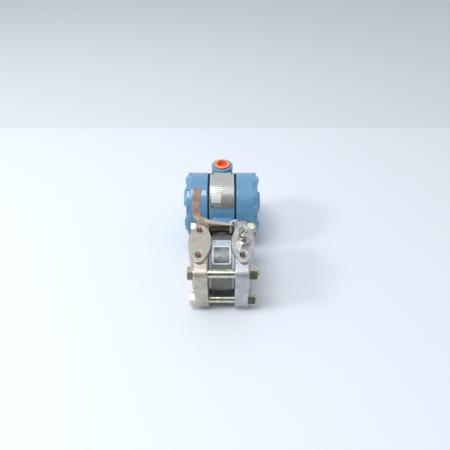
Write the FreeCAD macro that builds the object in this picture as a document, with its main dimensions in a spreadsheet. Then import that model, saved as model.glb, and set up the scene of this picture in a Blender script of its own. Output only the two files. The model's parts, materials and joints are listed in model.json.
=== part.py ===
import FreeCAD, Part
import math
import os
import re
import Sketcher
from FreeCAD import Placement, Rotation, Vector

# Pressure transmitter lying on its back. X runs along the sensor axis, Y along the neck towards the
# housing, Z out of the front pads. The origin is the centre of the four rear pad holes. All in mm.
SIZES = {
    "port_spacing": 54.0,
    "pad_hole_pitch": 41.3,
    "rear_hole_bore": 9.9,
    "front_hole_bore": 9.92,
    "pad_hole_depth": 17.0,
    "pad_hole_chamfer": 0.4,
    "pad_length": 65.4,
    "pad_width": 29.0,
    "pad_end_radius": 6.0,
    "pad_edge": 0.6,
    "flange_depth": 83.0,
    "flange_plate": 17.0,
    "flange_edge": 1.5,
    "bolt_pitch_y": 76.4,
    "bolt_pitch_z": 53.0,
    "bolt_ear_radius": 10.0,
    "bolt_thread": 11.1,
    "bolt_hole_clear": 0.4,
    "bolt_head_flats": 15.9,
    "bolt_head_height": 7.2,
    "bolt_tail": 2.7,
    "bolt_tip": 1.0,
    "nut_flats": 17.0,
    "nut_height": 9.5,
    "nut_clear": 0.08,
    "process_bore": 11.1,
    "process_depth": 18.0,
    "passage_bore": 5.0,
    "chamber_radius": 24.0,
    "chamber_depth": 1.5,
    "sensor_width": 33.0,
    "sensor_radius": 37.0,
    "band_gap": 0.3,
    "shoulder_radius": 34.8,
    "shoulder_gap": 0.8,
    "face_radius": 33.0,
    "seat_clear": 0.8,
    "recess_radius": 27.5,
    "recess_depth": 1.5,
    "diaphragm_sheet": 0.4,
    "diaphragm_wave": 0.35,
    "diaphragm_clear": 0.1,
    "seal_inner": 28.6,
    "seal_outer": 32.2,
    "seal_depth": 2.6,
    "seal_corner": 0.8,
    "label_foil": 0.3,
    "label_clear": 0.2,
    "label_above_deg": 11.0,
    "label_below_deg": 52.0,
    "label_corner": 1.5,
    "neck_radius": 13.0,
    "neck_top": 72.0,
    "neck_clear": 0.3,
    "lock_nut_flats": 36.0,
    "lock_nut_foot": 51.5,
    "lock_nut_height": 5.5,
    "header_radius": 9.0,
    "header_height": 2.4,
    "pin_radius": 0.5,
    "pin_circle": 4.5,
    "pin_length": 6.0,
    "vent_bore": 13.0,
    "vent_depth": 15.0,
    "vent_clear": 0.1,
    "vent_seat_flats": 15.9,
    "vent_seat_height": 6.0,
    "vent_collar_radius": 5.6,
    "vent_collar_height": 3.0,
    "stem_radius": 3.2,
    "stem_head_flats": 11.1,
    "stem_head_height": 8.0,
    "stem_clear": 0.3,
    "stem_tip": 11.0,
    "stem_socket_radius": 2.6,
    "stem_socket_depth": 4.0,
    "housing_rise": 115.5,
    "body_radius": 48.4,
    "body_width": 36.0,
    "collar_step": 6.4,
    "spigot_length": 14.0,
    "collar_wall": 5.5,
    "bulkhead": 4.0,
    "hub_radius": 16.0,
    "hub_sink": 16.4,
    "hub_reach": 51.5,
    "hub_edge": 1.0,
    "conduit_bore": 19.0,
    "conduit_depth": 20.0,
    "wire_way_bore": 17.0,
    "block_width": 33.0,
    "block_depth": 29.0,
    "block_corner": 6.0,
    "block_foot": 58.0,
    "socket_depth": 17.0,
    "lead_bore": 14.0,
    "lead_wall": 3.0,
    "adjust_bore": 6.0,
    "adjust_depth": 8.0,
    "adjust_spread": 18.0,
    "adjust_clear": 0.3,
    "adjust_height": 5.0,
    "adjust_slot": 1.0,
    "plug_clear": 0.3,
    "plug_rim": 23.0,
    "plug_rim_height": 2.3,
    "plug_recess": 16.6,
    "plug_recess_depth": 10.0,
    "plug_length": 13.0,
    "plug_lead": 1.0,
    "plug_edge": 0.5,
    "plate_sheet": 0.6,
    "plate_width": 34.0,
    "plate_above_deg": 13.0,
    "plate_below_deg": 54.0,
    "plate_corner": 2.5,
    "plate_proud": 0.4,
    "plate_shift": 4.05,
    "plate_back": 3.28,
    "plate_drop": 2.38,
    "plate_border": 0.5,
    "plate_lap_deg": 2.0,
    "rivet_shank": 1.1,
    "rivet_head": 1.8,
    "rivet_rise": 0.7,
    "rivet_length": 5.0,
    "rivet_inset": 3.2,
    "rivet_turn_deg": 4.0,
    "rivet_clear": 0.05,
    "cover_proud": 0.6,
    "cover_length": 30.5,
    "cover_end_wall": 4.5,
    "cover_side_wall": 8.0,
    "cover_bevel": 1.2,
    "cover_clear": 0.3,
    "cover_lead": 1.5,
    "left_cover_turn_deg": 0.0,
    "right_cover_turn_deg": 15.0,
    "lug_inset": 5.6,
    "lug_length": 9.0,
    "lug_height": 3.4,
    "lug_gap": 10.0,
    "lug_steep": 2.5,
    "lug_slope": 10.5,
    "notch_width": 12.8,
    "notch_length": 6.0,
    "notch_depth": 1.8,
    "ring_gap": 0.3,
    "ring_width": 1.8,
    "ring_inset": 0.3,
    "ring_corner": 0.5,
    "board_gap": 3.5,
    "board_sheet": 1.6,
    "post_radius": 2.6,
    "post_length": 9.0,
    "post_inset": 6.0,
    "post_bore": 1.5,
    "screw_clear": 0.05,
    "screw_head": 2.8,
    "screw_rise": 2.0,
    "screw_length": 6.0,
    "screw_slot": 1.0,
    "capacitor_radius": 3.5,
    "capacitor_height": 7.0,
    "capacitor_pitch": 12.0,
    "capacitor_offset": 9.0,
    "transformer_side": 15.0,
    "transformer_height": 8.0,
    "transformer_offset": 3.0,
    "trimmer_side": 9.0,
    "trimmer_height": 4.5,
    "trimmer_offset": 4.0,
    "connector_length": 18.0,
    "connector_width": 6.0,
    "connector_height": 5.0,
    "terminal_gap": 2.5,
    "terminal_chord": 12.0,
    "terminal_height": 11.0,
    "terminal_spacing": 13.0,
    "terminal_offset": 2.0,
    "terminal_well": 9.4,
    "terminal_well_depth": 4.0,
    "terminal_screw_head": 3.6,
    "terminal_screw_rise": 2.6,
    "terminal_screw_shank": 1.9,
    "terminal_screw_length": 5.0,
    "block_screw_spread": 40.0,
    "block_screw_drop": 18.0,
    "wire_radius": 0.7,
    "wire_clear": 0.5,
    "wire_offset": 11.8,
    "wire_tail_x": 8.2,
    "wire_tail_y": 7.0,
    "wire_tail_z": 1.4,
    "wire_leave_deg": 40.0,
    "wire_under": 3.0,
    "wire_over": 2.0,
    "tag_width": 11.0,
    "tag_sheet": 0.6,
    "tag_hole": 1.6,
    "tag_rise": 11.4,
    "tag_lean": 4.2,
    "tag_end": 3.4,
    "tag_run": 44.6,
    "tag_reach": 52.0,
}

# Sizes that follow from others.
MID = "flange_depth / 2"
FACE = "sensor_width / 2"
OUTER = "(sensor_width / 2 + flange_plate)"
BAND = "(port_spacing / 2 - pad_width / 2 - band_gap)"
HALF_BODY = "body_width / 2"
SPIGOT_END = "(body_width / 2 + spigot_length)"
RING_START = "(body_width / 2 + ring_gap)"
COVER_START = "(body_width / 2 + 2 * ring_gap + ring_width)"
COVER_END = f"({COVER_START} + cover_length)"
COLLAR = "(body_radius - collar_step)"
ROOM = "(body_radius - collar_step - collar_wall)"
CAP = "(body_radius + cover_proud)"
BOARD = f"({ROOM} - board_gap)"
POST_CIRCLE = f"({BOARD} - post_inset)"
HUB_Y = "(housing_rise + body_radius - hub_sink)"
HUB_TOP = "(flange_depth / 2 + hub_reach)"
PLATE_Y = "(housing_rise + plate_back)"
PLATE_Z = "(flange_depth / 2 - plate_drop)"
PLATE_IN = "(body_radius + plate_shift + plate_proud)"
WALL_FACE = "(lead_bore / 2 + lead_wall)"
WALL_BACK = f"({WALL_FACE} + bulkhead)"
LOWER_BOARD = f"({WALL_BACK} + post_length)"
UPPER_BOARD = f"({LOWER_BOARD} + board_sheet + post_length)"
UPPER_TOP = f"({UPPER_BOARD} + board_sheet)"
PAD_REACH = "((pad_width / 2)^2 + (pad_length / 2 - pad_end_radius)^2 - pad_end_radius^2)"
PAD_SIDE = f"({PAD_REACH} / (pad_width - 2 * pad_end_radius))"
LUG_OUT = f"({CAP} - lug_inset)"
CHAMFER_SHARE = "0.47"
WAVES = 10
LUGS = 6
NOTCHES = 12
WORD = re.compile(r"[a-z][a-z0-9_]*")
ALONG = Vector(0, 1, 0)
ACROSS = Vector(1, 0, 0)

doc = FreeCAD.newDocument("PressureTransmitter")
sheet = doc.addObject("Spreadsheet::Sheet", "Sizes")
for row, (alias, size) in enumerate(SIZES.items(), 1):
    sheet.set(f"A{row}", alias)
    sheet.set(f"B{row}", str(size))
    sheet.setAlias(f"B{row}", alias)
doc.recompute()


def formula(text):
    return WORD.sub(lambda m: "Sizes." + m.group() if m.group() in SIZES else m.group(), str(text))


def number(text):
    result = sheet.evalExpression(formula(text))
    return float(getattr(result, "Value", result))


def bind(item, name, text):
    item.setExpression(name, formula(text))


def body(label):
    item = doc.addObject("PartDesign::Body", label)
    item.Label = label
    return item


def sketch(owner, plane, x="0", y="0", z="0", tilt="0"):
    item = owner.newObject("Sketcher::SketchObject", owner.Name + "_sketch")
    role = plane + "_Plane"
    support = next(f for f in owner.Origin.OriginFeatures if f.Role == role)
    item.AttachmentSupport = [(support, "")]
    item.MapMode = "FlatFace"
    item.AttachmentOffset = Placement(Vector(), Rotation(ACROSS, number(tilt)))
    bind(item, "AttachmentOffset.Rotation.Angle", f"({tilt}) * 1 deg")
    local = {"XY": (x, y, z), "XZ": (x, z, f"-({y})"), "YZ": (y, z, x)}[plane]
    for axis, text in zip("xyz", local):
        bind(item, "AttachmentOffset.Base." + axis, text)
    return item


def limit(item, constraint, text):
    index = item.addConstraint(constraint)
    bind(item, f"Constraints[{index}]", text)


def pin(item, geo, point, u, v):
    limit(item, Sketcher.Constraint("DistanceX", -1, 1, geo, point, number(u)), u)
    limit(item, Sketcher.Constraint("DistanceY", -1, 1, geo, point, number(v)), v)


def spot(u, v):
    return Vector(number(u), number(v), 0)


def polygon(item, points):
    first = item.GeometryCount
    count = len(points)
    corners = [spot(u, v) for u, v in points]
    for i in range(count):
        item.addGeometry(Part.LineSegment(corners[i], corners[(i + 1) % count]), False)
    for i in range(count):
        item.addConstraint(Sketcher.Constraint("Coincident", first + i, 2, first + (i + 1) % count, 1))
    for i, (u, v) in enumerate(points):
        pin(item, first + i, 1, u, v)


def circle(item, u, v, radius):
    geo = item.addGeometry(Part.Circle(spot(u, v), Vector(0, 0, 1), number(radius)), False)
    pin(item, geo, 3, u, v)
    limit(item, Sketcher.Constraint("Radius", geo, number(radius)), radius)


def arc(item, u, v, radius, start, stop):
    full = Part.Circle(spot(u, v), Vector(0, 0, 1), number(radius))
    return item.addGeometry(Part.ArcOfCircle(full, math.radians(start), math.radians(stop)), False)


def rounded_box(item, half_u, half_v, radius):
    arcs = []
    for i, (su, sv) in enumerate(((1, 1), (-1, 1), (-1, -1), (1, -1))):
        u = f"{su} * ({half_u} - {radius})"
        v = f"{sv} * ({half_v} - {radius})"
        arcs.append((arc(item, u, v, radius, 90 * i, 90 * i + 90), u, v))
    for i in range(4):
        start = item.getPoint(arcs[i][0], 2)
        stop = item.getPoint(arcs[(i + 1) % 4][0], 1)
        line = item.addGeometry(Part.LineSegment(start, stop), False)
        item.addConstraint(Sketcher.Constraint("Tangent", arcs[i][0], 2, line, 1))
        item.addConstraint(Sketcher.Constraint("Tangent", line, 2, arcs[(i + 1) % 4][0], 1))
    for geo, u, v in arcs:
        pin(item, geo, 3, u, v)
        limit(item, Sketcher.Constraint("Radius", geo, number(radius)), radius)


def oval(item):
    end_v = "(pad_length / 2 - pad_end_radius)"
    side_u = f"({PAD_SIDE} - pad_width / 2)"
    lean = math.degrees(math.atan2(number(end_v), number(side_u)))
    right = arc(item, f"-{side_u}", "0", PAD_SIDE, -lean, lean)
    top = arc(item, "0", end_v, "pad_end_radius", lean, 180 - lean)
    left = arc(item, side_u, "0", PAD_SIDE, 180 - lean, 180 + lean)
    foot = arc(item, "0", f"-{end_v}", "pad_end_radius", 180 + lean, 360 - lean)
    loop = (right, top, left, foot)
    for i in range(4):
        item.addConstraint(Sketcher.Constraint("Tangent", loop[i], 2, loop[(i + 1) % 4], 1))
    pin(item, top, 3, "0", end_v)
    pin(item, foot, 3, "0", f"-{end_v}")
    rounds = ((top, "pad_end_radius"), (foot, "pad_end_radius"), (right, PAD_SIDE), (left, PAD_SIDE))
    for geo, radius in rounds:
        limit(item, Sketcher.Constraint("Radius", geo, number(radius)), radius)


def sector(item, inner, outer, above, below):
    start = 90 - number(above)
    stop = 90 + number(below)
    inside = arc(item, "0", "0", inner, start, stop)
    outside = arc(item, "0", "0", outer, start, stop)
    ends = []
    for point in (1, 2):
        line = Part.LineSegment(item.getPoint(inside, point), item.getPoint(outside, point))
        ends.append(item.addGeometry(line, False))
        item.addConstraint(Sketcher.Constraint("Coincident", inside, point, ends[-1], 1))
        item.addConstraint(Sketcher.Constraint("Coincident", outside, point, ends[-1], 2))
        item.addConstraint(Sketcher.Constraint("PointOnObject", -1, 1, ends[-1]))
    for geo, radius in ((inside, inner), (outside, outer)):
        item.addConstraint(Sketcher.Constraint("Coincident", geo, 3, -1, 1))
        limit(item, Sketcher.Constraint("Radius", geo, number(radius)), radius)
    for line, turn in ((ends[0], f"90 - {above}"), (ends[1], f"90 + {below}")):
        angle = FreeCAD.Units.Quantity(f"{number(turn)} deg")
        limit(item, Sketcher.Constraint("Angle", line, angle), f"({turn}) * 1 deg")


def segment(item, radius, chord, side):
    lean = math.degrees(math.acos(number(chord) / number(radius)))
    bow = arc(item, "0", "0", radius, *((-lean, lean) if side > 0 else (lean, 360 - lean)))
    line = item.addGeometry(Part.LineSegment(item.getPoint(bow, 2), item.getPoint(bow, 1)), False)
    item.addConstraint(Sketcher.Constraint("Coincident", bow, 2, line, 1))
    item.addConstraint(Sketcher.Constraint("Coincident", line, 2, bow, 1))
    item.addConstraint(Sketcher.Constraint("Coincident", bow, 3, -1, 1))
    limit(item, Sketcher.Constraint("Radius", bow, number(radius)), radius)
    limit(item, Sketcher.Constraint("DistanceX", -1, 1, line, 1, number(chord)), chord)
    item.addConstraint(Sketcher.Constraint("Vertical", line))


def feature(owner, kind, profile, length=None, reverse=False):
    item = owner.newObject("PartDesign::" + kind, f"{owner.Name}_{kind.lower()}")
    item.Profile = profile
    profile.Visibility = False
    if length is not None:
        bind(item, "Length", length)
    item.Reversed = reverse
    return item


def pad(owner, profile, length, reverse=False):
    return feature(owner, "Pad", profile, length, reverse)


def pocket(owner, profile, length, reverse=False):
    return feature(owner, "Pocket", profile, length, reverse)


def revolve(owner, profile, axis="H_Axis"):
    item = feature(owner, "Revolution", profile)
    item.ReferenceAxis = (profile, [axis])
    item.Angle = 360
    return item


def dress(owner, kind, size, chosen):
    doc.recompute()
    base = owner.Tip
    names = [f"Edge{i}" for i, edge in enumerate(base.Shape.Edges, 1) if chosen(edge)]
    item = owner.newObject("PartDesign::" + kind, f"{owner.Name}_{kind.lower()}")
    item.Base = (base, names)
    bind(item, "Size" if kind == "Chamfer" else "Radius", size)
    return item


def ring_edge(edge, axis, level, radius):
    curve = edge.Curve
    if not isinstance(curve, Part.Circle) or abs(curve.Radius - radius) > 1e-3:
        return False
    return abs(getattr(curve.Center, axis) - level) < 1e-3


def flat_edge(edge, axis, level):
    box = edge.BoundBox
    low = getattr(box, axis.upper() + "Min")
    high = getattr(box, axis.upper() + "Max")
    return abs(low - level) < 1e-3 and abs(high - level) < 1e-3


def primitive(kind, label, sizes, x="0", y="0", z="0", axis=Vector(0, 0, 1), turn="0"):
    item = doc.addObject("Part::" + kind, label)
    for name, text in sizes.items():
        bind(item, name, text)
    item.Placement = Placement(Vector(), Rotation(axis, number(turn)))
    bind(item, "Placement.Rotation.Angle", f"({turn}) * 1 deg")
    for name, text in zip("xyz", (x, y, z)):
        bind(item, "Placement.Base." + name, text)
    return item


def cylinder(label, radius, height, x, y, z, axis=Vector(0, 0, 1), turn="0"):
    return primitive("Cylinder", label, {"Radius": radius, "Height": height}, x, y, z, axis, turn)


def rod_x(label, radius, height, x, y, z):
    return cylinder(label, radius, height, x, y, z, ALONG, "90")


def cut(label, base, tool):
    item = doc.addObject("Part::Cut", label)
    item.Base = base
    item.Tool = tool
    return item


def fuse(label, items):
    item = doc.addObject("Part::MultiFuse", label)
    item.Shapes = items
    return item


def group(label, items):
    item = doc.addObject("Part::Compound", label)
    item.Links = items
    item.Label = label
    return item


def named(item, label):
    item.Label = label
    return item


def hexagon_x(label, flats, height, x, y, z, chamfer_far):
    item = doc.addObject("Part::Prism", label + "_hex")
    item.Polygon = 6
    bind(item, "Circumradius", f"{flats} / sqrt(3)")
    bind(item, "Height", height)
    item.Placement = Placement(Vector(), Rotation(ALONG, 90))
    cone = doc.addObject("Part::Cone", label + "_cone")
    slim = f"{flats} * {CHAMFER_SHARE}"
    wide = f"{slim} + {height} * sqrt(3)"
    bind(cone, "Radius1", wide if chamfer_far else slim)
    bind(cone, "Radius2", slim if chamfer_far else wide)
    bind(cone, "Height", height)
    cone.Placement = Placement(Vector(), Rotation(ALONG, 90))
    for solid in (item, cone):
        for name, text in zip("xyz", (x, y, z)):
            bind(solid, "Placement.Base." + name, text)
    both = doc.addObject("Part::Common", label + "_head")
    both.Base = item
    both.Tool = cone
    return both


def corner_places():
    for sy in (1, -1):
        for sz in (1, -1):
            yield f"{sy} * bolt_pitch_y / 2", f"{MID} + {sz} * bolt_pitch_z / 2"


# Flanges: a cast plate with four bolt ears and an oval column whose ends are the pads.
def flange(side, sign):
    owner = body(side + "_flange")
    plate = sketch(owner, "YZ", f"{sign} * {FACE}", "0", MID)
    ear = "bolt_ear_radius"
    rounded_box(plate, f"(bolt_pitch_y / 2 + {ear})", f"(bolt_pitch_z / 2 + {ear})", ear)
    pad(owner, plate, "flange_plate", sign < 0)
    rim = sign * number(OUTER)
    dress(owner, "Fillet", "flange_edge", lambda e: flat_edge(e, "x", rim))
    column = sketch(owner, "XY", f"{sign} * port_spacing / 2")
    oval(column)
    pad(owner, column, "flange_depth")
    clear = sketch(owner, "YZ", "0", "0", MID)
    circle(clear, "0", "0", "shoulder_radius + seat_clear")
    pocket(owner, clear, FACE, sign > 0)
    holes = sketch(owner, "YZ", f"{sign} * {FACE}", "0", MID)
    for sy in (1, -1):
        for sz in (1, -1):
            spot_y = f"{sy} * bolt_pitch_y / 2"
            circle(holes, spot_y, f"{sz} * bolt_pitch_z / 2", "bolt_thread / 2 + bolt_hole_clear")
    pocket(owner, holes, "flange_plate", sign > 0)
    groove = sketch(owner, "YZ", f"{sign} * {FACE}", "0", MID)
    circle(groove, "0", "0", "seal_inner")
    circle(groove, "0", "0", "seal_outer")
    pocket(owner, groove, "seal_depth", sign > 0)
    for bore, level, reverse in (("rear_hole_bore", "0", True), ("front_hole_bore", "flange_depth", False)):
        taps = sketch(owner, "XY", f"{sign} * port_spacing / 2", "0", level)
        for sy in (1, -1):
            circle(taps, "0", f"{sy} * pad_hole_pitch / 2", f"{bore} / 2")
        pocket(owner, taps, "pad_hole_depth", reverse)
    if sign > 0:
        chamber = sketch(owner, "YZ", FACE, "0", MID)
        circle(chamber, "0", "0", "chamber_radius")
        pocket(owner, chamber, "chamber_depth", True)
        inlet = sketch(owner, "YZ", FACE, "0", MID)
        circle(inlet, "0", "0", "passage_bore / 2")
        pocket(owner, inlet, f"port_spacing / 2 - {FACE}", True)
        bores = (("passage_bore", "flange_depth", False, "flange_depth"),
                 ("vent_bore", "vent_depth", False, "flange_depth"),
                 ("process_bore", "process_depth", True, "0"))
        for bore, depth, reverse, level in bores:
            port = sketch(owner, "XY", "port_spacing / 2", "0", level)
            circle(port, "0", "0", f"{bore} / 2")
            pocket(owner, port, depth, reverse)
    levels = (0.0, number("flange_depth"))
    bores = [number(f"{bore} / 2") for bore in ("rear_hole_bore", "front_hole_bore", "process_bore")]
    dress(owner, "Chamfer", "pad_hole_chamfer",
          lambda e: any(ring_edge(e, "z", level, r) for level in levels for r in bores))
    outline = number("pad_end_radius"), number(PAD_SIDE)
    dress(owner, "Chamfer", "pad_edge",
          lambda e: any(ring_edge(e, "z", level, r) for level in levels for r in outline))
    return owner


left_flange = flange("left", -1)
right_flange = flange("right", 1)

# Bolts and nuts that clamp the flanges.
bolts = []
nuts = []
for i, (by, bz) in enumerate(corner_places(), 1):
    start = f"-({OUTER} + bolt_head_height)"
    head = hexagon_x(f"bolt_{i}", "bolt_head_flats", "bolt_head_height", start, by, bz, False)
    length = f"2 * {OUTER} + nut_height + bolt_tail - bolt_tip"
    shank = rod_x(f"bolt_{i}_shank", "bolt_thread / 2", length, f"-{OUTER}", by, bz)
    tip_x = f"{OUTER} + nut_height + bolt_tail - bolt_tip"
    tip_sizes = {"Radius1": "bolt_thread / 2", "Radius2": "bolt_thread / 2 - bolt_tip", "Height": "bolt_tip"}
    tip = primitive("Cone", f"bolt_{i}_tip", tip_sizes, tip_x, by, bz, ALONG, "90")
    bolts.append(fuse(f"bolt_{i}", [head, shank, tip]))
    block = hexagon_x(f"nut_{i}", "nut_flats", "nut_height", OUTER, by, bz, True)
    bore = rod_x(f"nut_{i}_bore", "bolt_thread / 2 + nut_clear", "nut_height", OUTER, by, bz)
    nuts.append(cut(f"nut_{i}", block, bore))
flange_bolts = group("flange_bolts", bolts)
flange_nuts = group("flange_nuts", nuts)

# Sensor module with its neck tube.
sensor_module = body("sensor_module")
shape = sketch(sensor_module, "XY", "0", "0", MID)
half = [(f"{FACE} - recess_depth", "0"), (f"{FACE} - recess_depth", "recess_radius"),
        (FACE, "recess_radius"), (FACE, "face_radius"),
        (f"{FACE} - shoulder_gap", "face_radius"), (f"{FACE} - shoulder_gap", "shoulder_radius"),
        (BAND, "shoulder_radius"), (BAND, "sensor_radius")]
polygon(shape, half + [(f"-({u})", v) for u, v in reversed(half)])
revolve(sensor_module, shape)
tube = sketch(sensor_module, "XZ", "0", "sensor_radius / 2", MID)
circle(tube, "0", "0", "neck_radius")
pad(sensor_module, tube, "neck_top - sensor_radius / 2", True)


# Isolating diaphragms, pressed waves in thin sheet, and the seal rings in the flange grooves.
def diaphragm(side, sign):
    owner = body(side + "_diaphragm")
    profile = sketch(owner, "XY", "0", "0", MID)
    back = f"{FACE} - recess_depth"
    rim = "(recess_radius - diaphragm_clear)"
    low = []
    for i in range(WAVES + 1):
        lift = "diaphragm_wave" if i % 2 and i < WAVES else "0"
        low.append((f"{sign} * ({back} + {lift})", f"{rim} * {i} / {WAVES}"))
    high = [(f"{u} + {sign} * diaphragm_sheet", v) for u, v in reversed(low)]
    polygon(profile, low + high)
    revolve(owner, profile)
    return owner


def process_seal(side, sign):
    owner = body(side + "_process_seal")
    profile = sketch(owner, "XY", "0", "0", MID)
    near = FACE
    far = f"({FACE} + seal_depth)"
    c = "seal_corner"
    outline = [(f"{near} + {c}", "seal_inner"), (f"{far} - {c}", "seal_inner"), (far, f"seal_inner + {c}"),
               (far, f"seal_outer - {c}"), (f"{far} - {c}", "seal_outer"), (f"{near} + {c}", "seal_outer"),
               (near, f"seal_outer - {c}"), (near, f"seal_inner + {c}")]
    polygon(profile, [(f"{sign} * ({u})", v) for u, v in outline])
    revolve(owner, profile)
    return owner


left_diaphragm = diaphragm("left", -1)
right_diaphragm = diaphragm("right", 1)
left_process_seal = process_seal("left", -1)
right_process_seal = process_seal("right", 1)

# Foil label round the front of the sensor band.
sensor_label = body("sensor_label")
foil = sketch(sensor_label, "YZ", f"-({BAND} - label_clear)", "0", MID)
sector(foil, "sensor_radius", "(sensor_radius + label_foil)", "label_above_deg", "label_below_deg")
pad(sensor_label, foil, f"2 * ({BAND} - label_clear)")


def sheet_corner(edge, thickness):
    return isinstance(edge.Curve, Part.Line) and abs(edge.Length - thickness) < 1e-3


dress(sensor_label, "Fillet", "label_corner", lambda e: sheet_corner(e, number("label_foil")))

# Lock nut on the neck and the header with its pins on top of the neck.
lock_hex = doc.addObject("Part::Prism", "lock_hex")
lock_hex.Polygon = 6
bind(lock_hex, "Circumradius", "lock_nut_flats / sqrt(3)")
bind(lock_hex, "Height", "lock_nut_height")
lock_hex.Placement = Placement(Vector(), Rotation(ACROSS, -90))
bind(lock_hex, "Placement.Base.y", "lock_nut_foot")
bind(lock_hex, "Placement.Base.z", MID)
lock_bore = cylinder("lock_bore", "neck_radius + nut_clear", "lock_nut_height", "0", "lock_nut_foot", MID,
                     ACROSS, "-90")
neck_lock_nut = named(cut("neck_lock_nut", lock_hex, lock_bore), "neck_lock_nut")

sensor_header = body("sensor_header")
disc = sketch(sensor_header, "XZ", "0", "neck_top", MID)
circle(disc, "0", "0", "header_radius")
pad(sensor_header, disc, "header_height", True)
pins = sketch(sensor_header, "XZ", "0", "neck_top + header_height", MID)
for i in range(6):
    circle(pins, f"pin_circle * cos({60 * i} deg)", f"pin_circle * sin({60 * i} deg)", "pin_radius")
pad(sensor_header, pins, "pin_length", True)

# Vent valve: a hex seat screwed in the front port and a stem that turns in it.
vent_valve_seat = body("vent_valve_seat")
hexes = sketch(vent_valve_seat, "XY", "port_spacing / 2", "0", "flange_depth")
reach = "vent_seat_flats / sqrt(3)"
polygon(hexes, [(f"{reach} * cos({60 * i} deg)", f"{reach} * sin({60 * i} deg)") for i in range(6)])
pad(vent_valve_seat, hexes, "vent_seat_height")
thread = sketch(vent_valve_seat, "XY", "port_spacing / 2", "0", "flange_depth")
circle(thread, "0", "0", "vent_bore / 2 - vent_clear")
pad(vent_valve_seat, thread, "vent_depth - vent_clear", True)
collar = sketch(vent_valve_seat, "XY", "port_spacing / 2", "0", "flange_depth + vent_seat_height")
circle(collar, "0", "0", "vent_collar_radius")
pad(vent_valve_seat, collar, "vent_collar_height")
COLLAR_TOP = "flange_depth + vent_seat_height + vent_collar_height"
way = sketch(vent_valve_seat, "XY", "port_spacing / 2", "0", COLLAR_TOP)
circle(way, "0", "0", "stem_radius + stem_clear")
pocket(vent_valve_seat, way, "stem_tip + vent_collar_height + stem_clear")
drain = sketch(vent_valve_seat, "XY", "port_spacing / 2", "0", "flange_depth")
circle(drain, "0", "0", "stem_radius / 2")
pocket(vent_valve_seat, drain, "vent_depth")

vent_valve_stem = body("vent_valve_stem")
HEAD_FOOT = f"{COLLAR_TOP} + stem_clear"
grip = sketch(vent_valve_stem, "XY", "port_spacing / 2", "0", HEAD_FOOT)
reach = "stem_head_flats / sqrt(3)"
polygon(grip, [(f"{reach} * cos({60 * i + 30} deg)", f"{reach} * sin({60 * i + 30} deg)") for i in range(6)])
pad(vent_valve_stem, grip, "stem_head_height")
spindle = sketch(vent_valve_stem, "XY", "port_spacing / 2", "0", HEAD_FOOT)
circle(spindle, "0", "0", "stem_radius")
pad(vent_valve_stem, spindle, "stem_tip + vent_collar_height - stem_clear", True)
mouth = sketch(vent_valve_stem, "XY", "port_spacing / 2", "0", f"{HEAD_FOOT} + stem_head_height")
circle(mouth, "0", "0", "stem_socket_radius")
pocket(vent_valve_stem, mouth, "stem_socket_depth")

# Electronics housing: centre body with threaded collars, conduit hub, neck block and two compartments.
casting = body("housing_casting")
drum = sketch(casting, "XY", "0", "housing_rise", MID)
half = [(SPIGOT_END, "0"), (SPIGOT_END, COLLAR), (HALF_BODY, COLLAR), (HALF_BODY, "body_radius")]
polygon(drum, half + [(f"-({u})", v) for u, v in reversed(half)])
revolve(casting, drum)
hub = sketch(casting, "XY", "0", HUB_Y, f"{MID} - hub_reach")
circle(hub, "0", "0", "hub_radius")
pad(casting, hub, "2 * hub_reach")
rest = sketch(casting, "YZ", "-plate_width / 2 - plate_border", PLATE_Y, PLATE_Z)
sector(rest, ROOM, PLATE_IN, "plate_above_deg + plate_lap_deg", "plate_below_deg + plate_lap_deg")
pad(casting, rest, "plate_width + 2 * plate_border")
block = sketch(casting, "XZ", "0", "block_foot", MID)
rounded_box(block, "block_width / 2", "block_depth / 2", "block_corner")
pad(casting, block, f"housing_rise - {ROOM} - block_foot", True)
for sign in (1, -1):
    room = sketch(casting, "YZ", f"{sign} * {SPIGOT_END}", "housing_rise", MID)
    circle(room, "0", "0", ROOM)
    pocket(casting, room, f"{SPIGOT_END} - {WALL_BACK}", sign < 0)
    bay = sketch(casting, "YZ", f"{sign} * {WALL_BACK}", "housing_rise", MID)
    chord = "bulkhead / 2" if sign > 0 else "-bulkhead / 2"
    segment(bay, ROOM, chord, sign)
    pocket(casting, bay, f"{WALL_FACE} + {WALL_BACK}", sign < 0)
for level, reverse in ((HUB_TOP, False), (f"{MID} - hub_reach", True)):
    entry = sketch(casting, "XY", "0", HUB_Y, level)
    circle(entry, "0", "0", "conduit_bore / 2")
    pocket(casting, entry, "conduit_depth", reverse)
wire_way = sketch(casting, "XY", "0", HUB_Y, HUB_TOP)
circle(wire_way, "0", "0", "wire_way_bore / 2")
pocket(casting, wire_way, "2 * hub_reach")
socket = sketch(casting, "XZ", "0", "block_foot", MID)
circle(socket, "0", "0", "neck_radius + neck_clear")
pocket(casting, socket, "socket_depth", False)
lead = sketch(casting, "XZ", "0", "block_foot", MID)
circle(lead, "0", "0", "lead_bore / 2")
pocket(casting, lead, f"housing_rise - {ROOM} / 2 - block_foot", False)
wells = sketch(casting, "XY", "0", "housing_rise", f"{MID} + {PLATE_IN}")
for sign in (1, -1):
    circle(wells, f"{sign} * adjust_spread / 2", "0", "adjust_bore / 2")
pocket(casting, wells, f"adjust_depth + {PLATE_IN} - body_radius")
hub_faces = (number(HUB_TOP), number(f"{MID} - hub_reach"))
dress(casting, "Chamfer", "hub_edge",
      lambda e: any(ring_edge(e, "z", level, number("hub_radius")) for level in hub_faces))

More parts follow.
